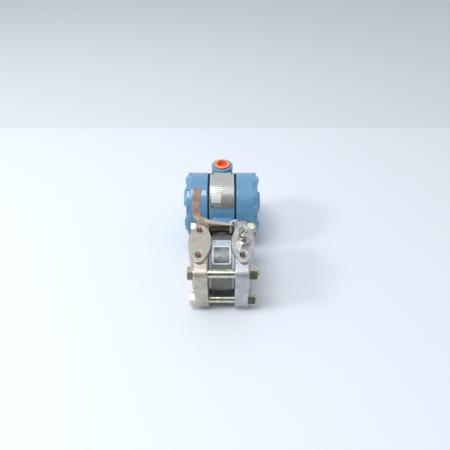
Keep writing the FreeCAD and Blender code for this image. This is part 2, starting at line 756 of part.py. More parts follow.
# Nameplate bent round its raised rest, with its drive screws in drilled holes.
PLATE_OUT = f"({PLATE_IN} + plate_sheet)"
plate_blank = body("nameplate_blank")
bend = sketch(plate_blank, "YZ", "-plate_width / 2", PLATE_Y, PLATE_Z)
sector(bend, PLATE_IN, PLATE_OUT, "plate_above_deg", "plate_below_deg")
pad(plate_blank, bend, "plate_width")
dress(plate_blank, "Fillet", "plate_corner", lambda e: sheet_corner(e, number("plate_sheet")))

rivets = []
drills = []
TURNS = ("rivet_turn_deg - plate_above_deg", "plate_below_deg - rivet_turn_deg")
for i, (sign, turn) in enumerate([(s, t) for t in TURNS for s in (1, -1)], 1):
    across = f"{sign} * (plate_width / 2 - rivet_inset)"

    def radial(distance):
        y = f"{PLATE_Y} - ({distance}) * sin(({turn}) * 1 deg)"
        z = f"{PLATE_Z} + ({distance}) * cos(({turn}) * 1 deg)"
        return across, y, z, ACROSS, turn

    seat = f"{PLATE_OUT} + rivet_clear"
    root = f"{seat} - rivet_length"
    head = cylinder(f"rivet_{i}_head", "rivet_head", "rivet_rise", *radial(seat))
    shank = cylinder(f"rivet_{i}_shank", "rivet_shank", "rivet_length", *radial(root))
    rivets.append(fuse(f"rivet_{i}", [head, shank]))
    deep = "rivet_length + rivet_clear + 1"
    drills.append(cylinder(f"drill_{i}", "rivet_shank + rivet_clear", deep, *radial(f"{root} - rivet_clear")))
drill_group = group("rivet_drills", drills)
electronics_housing = named(cut("electronics_housing", casting, drill_group), "electronics_housing")
nameplate = named(cut("nameplate", plate_blank, drill_group), "nameplate")
nameplate_screws = group("nameplate_screws", rivets)


# Zero and span screws in their wells under the nameplate.
def adjust_screw(name, sign):
    x = f"{sign} * adjust_spread / 2"
    z = f"{MID} + body_radius - adjust_depth + adjust_clear"
    radius = "adjust_bore / 2 - adjust_clear"
    barrel = cylinder(name + "_barrel", radius, "adjust_height", x, "housing_rise", z)
    sizes = {"Length": "adjust_bore", "Width": "adjust_slot", "Height": "adjust_slot"}
    slot = primitive("Box", name + "_slot", sizes, f"{x} - adjust_bore / 2", "housing_rise - adjust_slot / 2",
                     f"{z} + adjust_height - adjust_slot")
    return named(cut(name, barrel, slot), name)


zero_screw = adjust_screw("zero_screw", -1)
span_screw = adjust_screw("span_screw", 1)

# Shipping plug in the front conduit entry.
conduit_plug = body("conduit_plug")
turned = sketch(conduit_plug, "XZ", "0", HUB_Y, HUB_TOP)
shank = "conduit_bore / 2 - plug_clear"
top = "plug_clear + plug_rim_height"
floor = f"{top} - plug_recess_depth"
polygon(turned, [("0", "-plug_length"), (f"{shank} - plug_lead", "-plug_length"),
                 (shank, "plug_lead - plug_length"), (shank, "plug_clear"), ("plug_rim / 2", "plug_clear"),
                 ("plug_rim / 2", f"{top} - plug_edge"), ("plug_rim / 2 - plug_edge", top),
                 ("plug_recess / 2", top), ("plug_recess / 2", floor), ("0", floor)])
revolve(conduit_plug, turned, "V_Axis")


# Screw-on covers with wrench lugs on the end and notches round the rim, and the O-rings under their skirts.
def ring_of(owner, item, axis_of, count):
    pattern = owner.newObject("PartDesign::PolarPattern", item.Name + "_ring")
    pattern.Originals = [item]
    pattern.Axis = (axis_of, ["N_Axis"])
    pattern.Angle = 360
    pattern.Occurrences = count
    owner.Tip = pattern


def cover(side, sign):
    owner = body(side + "_cover")
    profile = sketch(owner, "XY", "0", "housing_rise", MID)
    inner = f"({COLLAR} + cover_clear)"
    room = f"({CAP} - cover_side_wall)"
    depth = f"({SPIGOT_END} + cover_lead)"
    end = COVER_END
    outline = [(COVER_START, inner), (COVER_START, CAP), (f"{end} - cover_bevel", CAP),
               (end, f"{CAP} - cover_bevel"), (end, "0"), (f"{end} - cover_end_wall", "0"),
               (f"{end} - cover_end_wall", room), (depth, room), (depth, inner)]
    polygon(profile, [(f"{sign} * ({u})", v) for u, v in outline])
    revolve(owner, profile)
    raised = sketch(owner, "YZ", f"{sign} * {end}", "housing_rise", MID)
    circle(raised, "0", "0", LUG_OUT)
    circle(raised, "0", "0", f"{LUG_OUT} - lug_length")
    pad(owner, raised, "lug_height", sign < 0)
    tilt = side + "_cover_turn_deg"
    gap = sketch(owner, "XY", "0", "housing_rise", MID, tilt)
    walls = [(end, "lug_gap / 2"), (f"{end} + 2 * lug_height", "lug_gap / 2 + 2 * lug_slope"),
             (f"{end} + 2 * lug_height", "-lug_gap / 2 - 2 * lug_steep"), (end, "-lug_gap / 2")]
    polygon(gap, [(f"{sign} * ({u})", f"{sign} * ({v})") for u, v in walls])
    ring_of(owner, pocket(owner, gap, CAP, True), raised, LUGS)
    bed = f"({CAP} - notch_depth)"
    lean = f"({tilt}) * 1 deg"
    bed_y = f"housing_rise - {bed} * sin({lean})"
    bed_z = f"{MID} + {bed} * cos({lean})"
    notch = sketch(owner, "XY", "0", bed_y, bed_z, tilt)
    half = "notch_width / 2"
    edges = [(f"{end} - notch_length", half), (f"{end} + notch_depth", half),
             (f"{end} + notch_depth", f"-{half}"), (f"{end} - notch_length", f"-{half}")]
    polygon(notch, [(f"{sign} * ({u})", v) for u, v in edges])
    ring_of(owner, pocket(owner, notch, "2 * notch_depth", True), raised, NOTCHES)
    return owner


def cover_seal(side, sign):
    owner = body(side + "_cover_seal")
    profile = sketch(owner, "XY", "0", "housing_rise", MID)
    near = RING_START
    far = f"({RING_START} + ring_width)"
    low = f"({COLLAR} + ring_gap)"
    high = "(body_radius - ring_inset)"
    c = "ring_corner"
    outline = [(f"{near} + {c}", low), (f"{far} - {c}", low), (far, f"{low} + {c}"), (far, f"{high} - {c}"),
               (f"{far} - {c}", high), (f"{near} + {c}", high), (near, f"{high} - {c}"),
               (near, f"{low} + {c}")]
    polygon(profile, [(f"{sign} * ({u})", v) for u, v in outline])
    revolve(owner, profile)
    return owner


left_cover = cover("left", -1)
right_cover = cover("right", 1)
left_cover_seal = cover_seal("left", -1)
right_cover_seal = cover_seal("right", 1)


# Electronics in the left compartment: two boards on posts, with their larger components.
def board(name, depth, bored):
    owner = body(name)
    profile = sketch(owner, "YZ", f"-{depth}", "housing_rise", MID)
    circle(profile, "0", "0", BOARD)
    if bored:
        for i in range(3):
            circle(profile, f"{POST_CIRCLE} * cos({120 * i} deg)", f"{POST_CIRCLE} * sin({120 * i} deg)",
                   "post_bore + screw_clear")
    pad(owner, profile, "board_sheet", True)
    return owner


def post_place(i):
    y = f"housing_rise + {POST_CIRCLE} * cos({120 * i} deg)"
    z = f"{MID} + {POST_CIRCLE} * sin({120 * i} deg)"
    return y, z


amplifier_board = board("amplifier_board", LOWER_BOARD, False)
calibration_board = board("calibration_board", UPPER_BOARD, True)
posts = []
spacers = []
screws = []
for i in range(3):
    py, pz = post_place(i)
    posts.append(rod_x(f"post_{i}", "post_radius", "post_length", f"-{LOWER_BOARD}", py, pz))
    sleeve = rod_x(f"spacer_{i}_rod", "post_radius", "post_length", f"-{UPPER_BOARD}", py, pz)
    hole = rod_x(f"spacer_{i}_bore", "post_bore + screw_clear", "screw_length", f"-{UPPER_BOARD}", py, pz)
    spacers.append(cut(f"spacer_{i}", sleeve, hole))
    head = rod_x(f"board_screw_{i}_head", "screw_head", "screw_rise", f"-({UPPER_TOP} + screw_rise)", py, pz)
    stem = rod_x(f"board_screw_{i}_shank", "post_bore", "screw_length", f"-{UPPER_TOP}", py, pz)
    screws.append(fuse(f"board_screw_{i}", [head, stem]))
board_posts = group("board_posts", posts)
board_spacers = group("board_spacers", spacers)
board_screws = group("board_screws", screws)

LOWER_TOP = f"({LOWER_BOARD} + board_sheet)"
cans = []
for i in range(3):
    y = f"housing_rise + capacitor_pitch * {i - 1}"
    x = f"-({LOWER_TOP} + capacitor_height)"
    z = f"{MID} - capacitor_offset"
    cans.append(rod_x(f"capacitor_{i}", "capacitor_radius", "capacitor_height", x, y, z))
board_capacitors = group("board_capacitors", cans)
side = "transformer_side"
sizes = {"Length": "transformer_height", "Width": side, "Height": side}
core = primitive("Box", "board_transformer", sizes, f"-({LOWER_TOP} + transformer_height)",
                 f"housing_rise - {side} / 2", f"{MID} + transformer_offset")
board_transformer = named(core, "board_transformer")
trimmers = []
for i, sign in enumerate((1, -1)):
    sizes = {"Length": "trimmer_height", "Width": "trimmer_side", "Height": "trimmer_side"}
    y = f"housing_rise + {sign} * trimmer_side - trimmer_side / 2"
    trimmers.append(primitive("Box", f"trimmer_{i}", sizes, f"-({UPPER_TOP} + trimmer_height)", y,
                              f"{MID} + trimmer_offset"))
board_potentiometers = group("board_potentiometers", trimmers)
sizes = {"Length": "connector_height", "Width": "connector_length", "Height": "connector_width"}
plug = primitive("Box", "board_connector", sizes, f"-({UPPER_TOP} + connector_height)",
                 "housing_rise - connector_length / 2", f"{MID} - 2 * connector_width")
board_connector = named(plug, "board_connector")

# Terminal block and its screws in the right compartment.
terminal_block = body("terminal_block")
base = sketch(terminal_block, "YZ", WALL_BACK, "housing_rise", MID)
segment(base, f"({ROOM} - terminal_gap)", "terminal_chord", -1)
pad(terminal_block, base, "terminal_height")
TERMINAL_TOP = f"({WALL_BACK} + terminal_height)"
TERMINALS = [f"terminal_spacing * {k}" for k in (-1.5, -0.5, 0.5, 1.5)]
FIXINGS = [f"{sign} * block_screw_spread / 2" for sign in (1, -1)]
well = sketch(terminal_block, "YZ", TERMINAL_TOP, "housing_rise", MID)
for place in TERMINALS:
    circle(well, "terminal_offset", place, "terminal_well / 2")
pocket(terminal_block, well, "terminal_well_depth")
tapped = sketch(terminal_block, "YZ", TERMINAL_TOP, "housing_rise", MID)
for place in TERMINALS:
    circle(tapped, "terminal_offset", place, "terminal_screw_shank + screw_clear")
pocket(terminal_block, tapped, "terminal_well_depth + terminal_screw_length")
fixing = sketch(terminal_block, "YZ", TERMINAL_TOP, "housing_rise", MID)
for place in FIXINGS:
    circle(fixing, "-block_screw_drop", place, "terminal_screw_shank + screw_clear")
pocket(terminal_block, fixing, "terminal_screw_length")


def slotted(name, x, y, z):
    head = rod_x(name + "_head", "terminal_screw_head", "terminal_screw_rise", x, y, z)
    foot = f"{x} - terminal_screw_length"
    stem = rod_x(name + "_shank", "terminal_screw_shank", "terminal_screw_length", foot, y, z)
    sizes = {"Length": "screw_slot", "Width": "screw_slot", "Height": "2 * terminal_screw_head"}
    top = f"{x} + terminal_screw_rise - screw_slot"
    slot = primitive("Box", name + "_slot", sizes, top, f"{y} - screw_slot / 2", f"{z} - terminal_screw_head")
    return cut(name, fuse(name + "_blank", [head, stem]), slot)


seats = []
for i, place in enumerate(TERMINALS):
    seats.append(slotted(f"terminal_screw_{i}", f"{TERMINAL_TOP} - terminal_well_depth",
                         "housing_rise + terminal_offset", f"{MID} + {place}"))
terminal_screws = group("terminal_screws", seats)
fixings = []
for i, place in enumerate(FIXINGS):
    fixings.append(slotted(f"block_screw_{i}", TERMINAL_TOP, "housing_rise - block_screw_drop",
                           f"{MID} + {place}"))
terminal_block_screws = group("terminal_block_screws", fixings)

# Tie wire round the upper front bolt and the bent tag that it holds.
BOLT = Vector(0, number("bolt_pitch_y / 2"), number(f"{MID} + bolt_pitch_z / 2"))
wire_r = number("wire_radius")
loop_r = number("bolt_thread / 2 + wire_clear + wire_radius")
wire_x = number("wire_offset")
rise = number("tag_rise")
hole_at = BOLT + Vector(wire_x, -number("tag_lean"), rise)
# How the strip's width lies at the wire's hole.
LYING = (0, -0.84, 0.545)


def between(a, b, c, d, u):
    weights = (-u + 2 * u**2 - u**3, 2 - 5 * u**2 + 3 * u**3, u + 4 * u**2 - 3 * u**3, u**3 - u**2)
    return tuple(sum(w * v for w, v in zip(weights, knots)) / 2 for knots in zip(a, b, c, d))


def smooth(knots, steps):
    ends = [knots[0]] + list(knots) + [knots[-1]]
    points = []
    for i in range(1, len(ends) - 2):
        points += [between(*ends[i - 1:i + 3], k / steps) for k in range(steps)]
    return [Vector(*point) for point in points + [knots[-1]]]


def tail(points, radius):
    solid = Part.makeSphere(radius, points[0])
    for start, stop in zip(points, points[1:]):
        rod = Part.makeCylinder(radius, (stop - start).Length, start, stop - start)
        solid = solid.fuse([rod, Part.makeSphere(radius, stop)])
    return solid


loop = Part.makeTorus(loop_r, wire_r, BOLT + Vector(wire_x, 0, 0), Vector(1, 0, 0))
tip = Vector(*[number(f"wire_tail_{axis}") for axis in "xyz"])
leave = math.radians(number("wire_leave_deg"))
upward = Vector(0, LYING[2], -LYING[1])
under = hole_at - upward * number("wire_under")
over = hole_at + upward * number("wire_over")
start = BOLT + Vector(wire_x, -loop_r * math.sin(leave), loop_r * math.cos(leave))
bends = [start, under, hole_at, over, hole_at + tip]
tag_wire = doc.addObject("Part::Feature", "tag_wire")
tag_wire.Shape = loop.fuse(tail(bends, wire_r))
tag_wire.Label = "tag_wire"

run = number("tag_run")
reach = number("tag_reach")
end = number("tag_end")
stations = [(end, 0, 0, *LYING), (0, 0, 0, *LYING)]
# Shares of the run and reach from the wire's hole, and how the strip's width lies there.
for along, back, up, *lie in (
        (0.305, 0.012, 0.031, 0, -0.9, 0.44), (0.61, 0.012, 0.083, -0.04, -0.92, 0.38),
        (0.8, 0.019, 0.133, -0.18, -0.96, 0.22), (0.917, 0.027, 0.163, -0.37, -0.92, -0.13),
        (0.993, 0.081, 0.238, -0.65, -0.76, -0.06), (1.011, 0.131, 0.333, -0.87, -0.46, 0.15),
        (1.002, 0.183, 0.454, -0.95, -0.21, 0.21), (0.984, 0.244, 0.638, -1, -0.05, 0.05),
        (0.937, 0.315, 0.938, -1, 0, 0)):
    stations.append((-along * run, back * reach, up * reach, *lie))
middle = smooth([s[:3] for s in stations], 3)
lean = smooth([s[3:] for s in stations], 3)
wide = number("tag_width / 2")
thin = number("tag_sheet / 2")
sections = []
for i, offset in enumerate(middle):
    along = (middle[min(i + 1, len(middle) - 1)] - middle[max(i - 1, 0)]).normalize()
    side = lean[i] - along * lean[i].dot(along)
    side.normalize()
    face = along.cross(side)
    centre = hole_at + offset
    corners = [centre + side * (a * wide) + face * (b * thin)
               for a, b in ((1, 1), (-1, 1), (-1, -1), (1, -1))]
    sections.append(Part.makePolygon(corners + corners[:1]))
strip = Part.makeLoft(sections, True, True)
bore = Part.makeCylinder(number("tag_hole"), 2 * wide, hole_at - Vector(0, 0, wide), Vector(0, 0, 1))
tag_strip = doc.addObject("Part::Feature", "tag_strip")
tag_strip.Shape = strip.cut(bore)
tag_strip.Label = "tag_strip"

doc.recompute()
NODES = [left_flange, right_flange, flange_bolts, flange_nuts, sensor_module, left_diaphragm, right_diaphragm,
         left_process_seal, right_process_seal, sensor_label, neck_lock_nut, sensor_header, vent_valve_seat,
         vent_valve_stem, electronics_housing, nameplate, nameplate_screws, zero_screw, span_screw,
         conduit_plug, left_cover, right_cover, left_cover_seal, right_cover_seal, amplifier_board,
         calibration_board, board_posts, board_spacers, board_screws, board_capacitors, board_transformer,
         board_potentiometers, board_connector, terminal_block, terminal_screws, terminal_block_screws,
         tag_wire, tag_strip]
for item in doc.Objects:
    if "Invalid" in item.State or "Error" in item.State:
        raise RuntimeError(f"{item.Label}: {item.State}")
os.makedirs("parts", exist_ok=True)
for item in NODES:
    if item.Shape.isNull() or not item.Shape.isValid():
        raise RuntimeError(item.Label + " has no valid shape")
    item.Shape.exportStep(f"parts/{item.Label}.step")
    print(item.Label, round(item.Shape.Volume, 1), len(item.Shape.Solids))
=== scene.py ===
import json
import math
import bmesh
import bpy
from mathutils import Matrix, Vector


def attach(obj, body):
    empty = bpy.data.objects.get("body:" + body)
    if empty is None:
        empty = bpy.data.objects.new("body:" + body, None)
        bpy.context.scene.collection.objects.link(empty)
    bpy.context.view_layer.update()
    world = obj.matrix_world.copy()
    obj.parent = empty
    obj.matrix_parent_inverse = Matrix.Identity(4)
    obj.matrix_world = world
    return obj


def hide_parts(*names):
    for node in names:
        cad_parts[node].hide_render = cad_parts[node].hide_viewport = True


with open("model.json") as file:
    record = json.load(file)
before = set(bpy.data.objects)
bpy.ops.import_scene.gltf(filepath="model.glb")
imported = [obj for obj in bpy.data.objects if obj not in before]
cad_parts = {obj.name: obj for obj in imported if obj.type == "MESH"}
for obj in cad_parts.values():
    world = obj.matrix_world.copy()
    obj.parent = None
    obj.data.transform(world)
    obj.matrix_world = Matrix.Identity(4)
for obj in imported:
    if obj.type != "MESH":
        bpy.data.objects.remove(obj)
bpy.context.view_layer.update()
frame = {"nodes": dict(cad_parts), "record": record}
nodes = frame["nodes"]
mm = 0.001
print("frame:", len(nodes), "nodes")

axisY, axisZ = 115.5, 41.5  # housing axis, mm
boltY, boltZ = 38.2, 26.5  # bolt places from the sensor axis, mm
portX, tapY, padZ = 27.0, 20.65, 83.0  # pad centres, their tapped holes and front face, mm
hubY, hubBack = 147.5, -10.0  # conduit hub and its rear face, mm
plateY, plateZ = 118.78, 39.12  # centre of the nameplate's bend, mm


class Sock:  # a socket that can be added, multiplied and so on
    def __init__(self, tree, socket=None):
        self.tree = tree
        self.socket = socket

    def node(self, kind, settings=None, sockets=None, out=0):
        made = self.tree.nodes.new("ShaderNode" + kind)
        for key, value in (settings or {}).items():
            setattr(made, key, value)
        self.join(made, sockets or {})
        return Sock(self.tree, made.outputs[out])

    def join(self, made, sockets):
        for key, value in sockets.items():
            if isinstance(value, Sock):
                self.tree.links.new(value.socket, made.inputs[key])
            else:
                made.inputs[key].default_value = value

    def sums(self, operation, one, two):
        return self.node("Math", {"operation": operation}, {0: one, 1: two})

    def __add__(self, other):
        return self.sums("ADD", self, other)

    def __radd__(self, other):
        return self.sums("ADD", other, self)

    def __sub__(self, other):
        return self.sums("SUBTRACT", self, other)

    def __rsub__(self, other):
        return self.sums("SUBTRACT", other, self)

    def __mul__(self, other):
        return self.sums("MULTIPLY", self, other)

    def __rmul__(self, other):
        return self.sums("MULTIPLY", other, self)

    def __abs__(self):
        return self.node("Math", {"operation": "ABSOLUTE"}, {0: self})

    def __mod__(self, other):
        return self.sums("FLOORED_MODULO", self, other)


def tone(red, green, blue):  # a colour as it reads on a screen, 0 to 255
    parts = [c / 255 for c in (red, green, blue)]
    return tuple(c / 12.92 if c < 0.04045 else ((c + 0.055) / 1.055) ** 2.4 for c in parts) + (1,)  # linear


def speckle(s, place, scale, detail=3, rough=0.5, stretch=None):
    if stretch:
        place = s.node("VectorMath", {"operation": "MULTIPLY"}, {0: place, 1: stretch})
    return s.node("TexNoise", {}, {"Vector": place, "Scale": scale, "Detail": detail, "Roughness": rough})


def fade(s, value, low, high):
    sockets = {"Value": value, "From Min": low, "From Max": high}
    return s.node("MapRange", {"interpolation_type": "SMOOTHSTEP"}, sockets)


def tint(s, mask, one, two):
    return s.node("Mix", {"data_type": "RGBA"}, {0: mask, 6: one, 7: two}, 2)


def relief(s, height, depth, strength=1.0):  # depth in metres
    return s.node("Bump", {}, {"Height": height, "Distance": depth, "Strength": strength})


def along(s, place):
    return [s.node("SeparateXYZ", {}, {0: place}, i) for i in range(3)]


def makeFinish(name, recipe, values):
    made = bpy.data.materials.new(name)
    made.use_nodes = True
    s = Sock(made.node_tree)
    place = s.node("TexCoord", {}, {}, "Object")
    s.join(made.node_tree.nodes["Principled BSDF"], recipe(s, place, values))
    return made


# painted casting: orange peel, faint clouding, a few rubbed specks
def paintRecipe(s, place, v):
    cloud = speckle(s, place, v["cloudScale"], 3)
    peel = speckle(s, place, v["peelScale"], 2)
    rubs = fade(s, speckle(s, place, v["rubScale"], 5, 0.65), v["rubStart"], v["rubStart"] + 0.04)
    worn = s.node("NewGeometry", {}, {}, "Pointiness")
    edges = fade(s, worn, v["edgeStart"], v["edgeStart"] + 0.05)
    colour = tint(s, fade(s, cloud, 0.3, 0.7), v["dark"], v["light"])
    colour = tint(s, rubs * 0.4 + edges * 0.35, colour, v["rub"])
    rough = v["rough"] + 0.1 * cloud + 0.15 * rubs
    return {"Base Color": colour, "Roughness": rough, "Normal": relief(s, peel, v["peelDepth"], 0.5),
            "Coat Weight": v["coat"], "Coat Roughness": 0.06, "Specular IOR Level": 0.2}


bluePaint = {"dark": tone(98, 150, 189), "light": tone(108, 160, 198), "rub": tone(150, 190, 220),
             "cloudScale": 55, "peelScale": 700, "peelDepth": 0.00001, "rubScale": 420,
             "rubStart": 0.69, "edgeStart": 0.53, "rough": 0.36, "coat": 1.0}


# cast steel with milled pads
def castRecipe(s, place, v):
    x, y, z = along(s, place)
    pads = fade(s, z, (padZ - 0.25) * mm, (padZ - 0.1) * mm) + fade(s, z, 0.25 * mm, 0.1 * mm)
    offX, offY = abs(x) - portX * mm, abs(y) - tapY * mm
    taps = fade(s, offX * offX + offY * offY, v["tapOut"] ** 2, v["tapIn"] ** 2) * (1 - pads)
    pits = speckle(s, place, v["pitScale"], 5, 0.6)
    cloud = speckle(s, place, 70, 3)
    blotch = speckle(s, place, 260, 4, 0.6)
    mill = speckle(s, place, 1, 3, 0.55, (70, v["millScale"], 10))
    colour = tint(s, fade(s, cloud, 0.3, 0.7), v["dark"], v["light"])
    colour = tint(s, fade(s, pits, 0.34, 0.5), v["pit"], colour)
    colour = tint(s, fade(s, blotch, 0.45, 0.7) * 0.5, colour, v["blotch"])
    milled = tint(s, fade(s, 0.6 * mill + 0.4 * blotch, 0.36, 0.62), v["millDark"], v["milled"])
    colour = tint(s, pads, colour, milled)
    streak = speckle(s, place, 1, 2, 0.5, (900, 40, 40))
    across = x - v["port"]
    stripe = fade(s, abs(across + v["stripe"]), v["shadeEdge"], v["stripeHalf"])
    paintedShade = fade(s, across, v["shadeEdge"], v["shadeFull"]) * fade(s, streak, 0.3, 0.55) * (1 - 0.85 * stripe)
    colour = tint(s, taps, colour, tint(s, paintedShade, v["tapped"], v["boreShade"]))  # bore walls painted darker along one side: painted shade
    rough = (1 - pads) * (v["rough"] + 0.2 * pits) + pads * (v["padRough"] + 0.2 * mill)
    height = (1 - pads) * pits + pads * (mill * 0.3 + blotch * 0.2)
    past = s.sums("MAXIMUM", abs(y) - v["crownFrom"], 0.0)
    past = s.sums("MINIMUM", past, v["crownWide"])
    upright = abs(along(s, s.node("NewGeometry", {}, {}, "Normal"))[2])
    crown = past * fade(s, upright, 0.4, 0.8) * (1 - pads)  # the ends fall away
    metal = v["metal"] - (v["metal"] - 0.15) * taps
    lift = 0.6 * v["depth"] * height - v["crown"] * crown
    return {"Base Color": colour, "Roughness": rough, "Metallic": metal, "Normal": relief(s, lift, 1.0)}


# one side of each tapped bore gets a darker colour as painted shade
warmCast = {"dark": tone(184, 174, 162), "light": tone(218, 210, 198), "pit": tone(146, 134, 123),
            "blotch": tone(222, 214, 203), "milled": tone(210, 208, 198), "millDark": tone(183, 180, 169),
            "pitScale": 1100, "millScale": 1500, "rough": 0.38, "padRough": 0.36, "depth": 0.00022, "metal": 0.8,
            "tapped": tone(240, 228, 220), "boreShade": tone(132, 106, 94), "port": -portX * mm, "tapOut": 0.00525,
            "tapIn": 0.0051, "shadeEdge": 0.0011, "shadeFull": 0.0002, "stripe": 0.0017, "stripeHalf": 0.0005,
            "crown": 0.15, "crownFrom": 0.0315, "crownWide": 0.0085}
coolCast = dict(warmCast, dark=tone(188, 189, 192), light=tone(220, 221, 224), pit=tone(142, 143, 147),
                blotch=tone(212, 213, 216), milled=tone(214, 216, 216), millDark=tone(174, 177, 177),
                millScale=700, tapped=tone(240, 236, 232), boreShade=tone(116, 102, 98), port=portX * mm, crown=0.2)


# plated, turned or drawn metal
def platedRecipe(s, place, v):
    cloud = speckle(s, place, v["cloudScale"], 3)
    fine = speckle(s, place, v["fineScale"], 4, 0.6, v["stretch"])
    spots = speckle(s, place, v["cloudScale"] * 3.7, 2)
    colour = tint(s, fade(s, cloud, 0.35, 0.65), v["dark"], v["light"])
    colour = tint(s, fade(s, spots, 0.5, 0.75) * 0.6, colour, v["stain"])
    x, y, z = along(s, place)
    if "rodShade" in v:  # the rods behind the sensor are painted darker: painted shade
        rods = fade(s, y, v["behind"], v["behind"] + 0.001) * fade(s, abs(x), v["rodEnd"], v["rodEnd"] - 0.004)
        colour = tint(s, rods * 0.8, colour, v["rodShade"])
    if "pale" in v:  # the tag's lying run painted paler: painted highlight
        colour = tint(s, fade(s, z, v["paleTop"], v["paleLow"]) * 0.4, colour, v["pale"])
    rough = v["rough"] + 0.16 * fine
    return {"Base Color": colour, "Roughness": rough, "Metallic": v["metal"],
            "Normal": relief(s, fine, v["depth"], 0.5)}


zincPlate = {"dark": tone(196, 198, 176), "light": tone(226, 228, 212), "stain": tone(178, 176, 132),
             "cloudScale": 160, "fineScale": 900, "stretch": (1, 1, 1), "rough": 0.16, "depth": 0.00002, "metal": 1.0}
# the rear rods' darker tone is painted shade
boltZinc = dict(zincPlate, rodShade=tone(104, 100, 72), behind=0.0285, rodEnd=0.024)
brightSteel = {"dark": tone(186, 186, 183), "light": tone(224, 224, 221), "stain": tone(164, 160, 154),
               "cloudScale": 120, "fineScale": 700, "stretch": (1, 1, 1), "rough": 0.2, "depth": 0.00003, "metal": 1.0}
foilSteel = dict(brightSteel, fineScale=1, stretch=(200, 3000, 3000))
headerMetal = dict(brightSteel, dark=tone(196, 172, 112), light=tone(226, 206, 150), stain=tone(150, 130, 90))
canMetal = dict(brightSteel, dark=tone(170, 174, 178), light=tone(206, 208, 210))
tieWire = dict(brightSteel, dark=tone(222, 219, 206), light=tone(246, 244, 234), stain=tone(206, 198, 180),
               rough=0.35, metal=0.3)
# the pale tone on the tag's lying run is a painted highlight
tagMetal = {"dark": tone(180, 150, 128), "light": tone(216, 189, 169), "stain": tone(186, 142, 116), "cloudScale": 90,
            "fineScale": 1, "stretch": (900, 120, 240), "rough": 0.4, "depth": 0.00004, "metal": 0.3,
            "pale": tone(236, 232, 218), "paleTop": 0.0885, "paleLow": 0.084}
ventSteel = dict(brightSteel, dark=tone(172, 170, 164), light=tone(214, 212, 206), rough=0.17)
# the lock nut's dark zinc is painted shade under the housing
shadedLockSteel = dict(zincPlate, dark=tone(112, 112, 92), light=tone(140, 140, 118), stain=tone(98, 96, 70), rough=0.3)
driveSteel = dict(brightSteel, dark=tone(112, 114, 116), light=tone(146, 148, 150), stain=tone(96, 94, 92),
                  rough=0.35)


# sensor can: dark blasted band between bright turned shoulders
def sensorRecipe(s, place, v):
    x, y, z = along(s, place)
    turned = fade(s, abs(x), v["bandEdge"] - 0.0001, v["bandEdge"] + 0.0001) * fade(s, y, 0.0368, 0.0360)
    neck = fade(s, y, 0.0375, 0.0385)
    cloud = speckle(s, place, 60, 3)
    grain = speckle(s, place, 1500, 3, 0.6)
    lathe = speckle(s, place, 1, 3, 0.6, (4000, 60, 60))
    band = tint(s, fade(s, 0.6 * cloud + 0.4 * grain, 0.35, 0.65), v["bandDark"], v["bandLight"])
    bright = tint(s, lathe, v["shoulderDark"], v["shoulderLight"])
    colour = tint(s, turned, band, bright)
    # the neck is painted dark: painted shade under the bolt
    colour = tint(s, neck, colour, v["neck"])
    shine = turned + neck
    rough = (1 - shine) * (0.3 + 0.15 * grain) + shine * (0.14 + 0.1 * lathe) + neck * 0.2
    height = (1 - shine) * grain + shine * lathe
    return {"Base Color": colour, "Roughness": rough, "Metallic": 0.55 - 0.45 * turned + 0.45 * neck,
            "Normal": relief(s, height, 0.00005, 0.6)}


# the neck's dark tone is painted shade under the bolt
sensorSteel = {"bandEdge": 0.01225, "bandDark": tone(112, 111, 110), "bandLight": tone(140, 139, 137),
               "shoulderDark": tone(206, 206, 202), "shoulderLight": tone(236, 236, 232), "neck": tone(112, 109, 98)}


# moulded plastic and rubber
def mouldedRecipe(s, place, v):
    cloud = speckle(s, place, v["cloudScale"], 3)
    grain = speckle(s, place, v["grainScale"], 3, 0.6)
    colour = tint(s, fade(s, cloud, 0.3, 0.7), v["dark"], v["light"])
    # the plug's rim is painted lighter by height: painted highlight
    if "rim" in v:
        x, y, z = along(s, place)
        colour = tint(s, fade(s, z, v["rimLow"], v["rimHigh"]) * 0.75, colour, v["rim"])
    rough = v["rough"] + 0.15 * grain
    return {"Base Color": colour, "Roughness": rough, "Normal": relief(s, grain, v["depth"], 0.5)}


orangePlastic = {"dark": tone(250, 132, 72), "light": tone(255, 152, 96), "cloudScale": 120, "grainScale": 1400,
                 "rough": 0.24, "depth": 0.00004}
# the lighter rim tone is a painted highlight
shippingPlug = dict(orangePlastic, rim=tone(255, 158, 132), rimLow=0.0944, rimHigh=0.0952)
blackRubber = {"dark": tone(20, 22, 26), "light": tone(36, 38, 42), "cloudScale": 90, "grainScale": 1600,
               "rough": 0.55, "depth": 0.00006}
blackPlastic = dict(blackRubber, rough=0.35, light=tone(34, 34, 36))
whiteSeal = dict(orangePlastic, dark=tone(214, 212, 204), light=tone(232, 230, 224), rough=0.4)
trimmerBlue = dict(orangePlastic, dark=tone(28, 72, 150), light=tone(44, 94, 176))


# circuit board: solder mask with faint tracks
def boardRecipe(s, place, v):
    cells = s.node("TexVoronoi", {"feature": "DISTANCE_TO_EDGE"}, {"Vector": place, "Scale": v["trackScale"]})
    tracks = fade(s, cells, 0.1, 0.06)
    colour = tint(s, tracks, v["mask"], v["track"])
    return {"Base Color": colour, "Roughness": 0.3 + 0.1 * tracks, "Normal": relief(s, tracks, 0.00005, 0.5)}


boardGreen = {"mask": tone(22, 84, 46), "track": tone(40, 120, 70), "trackScale": 260}


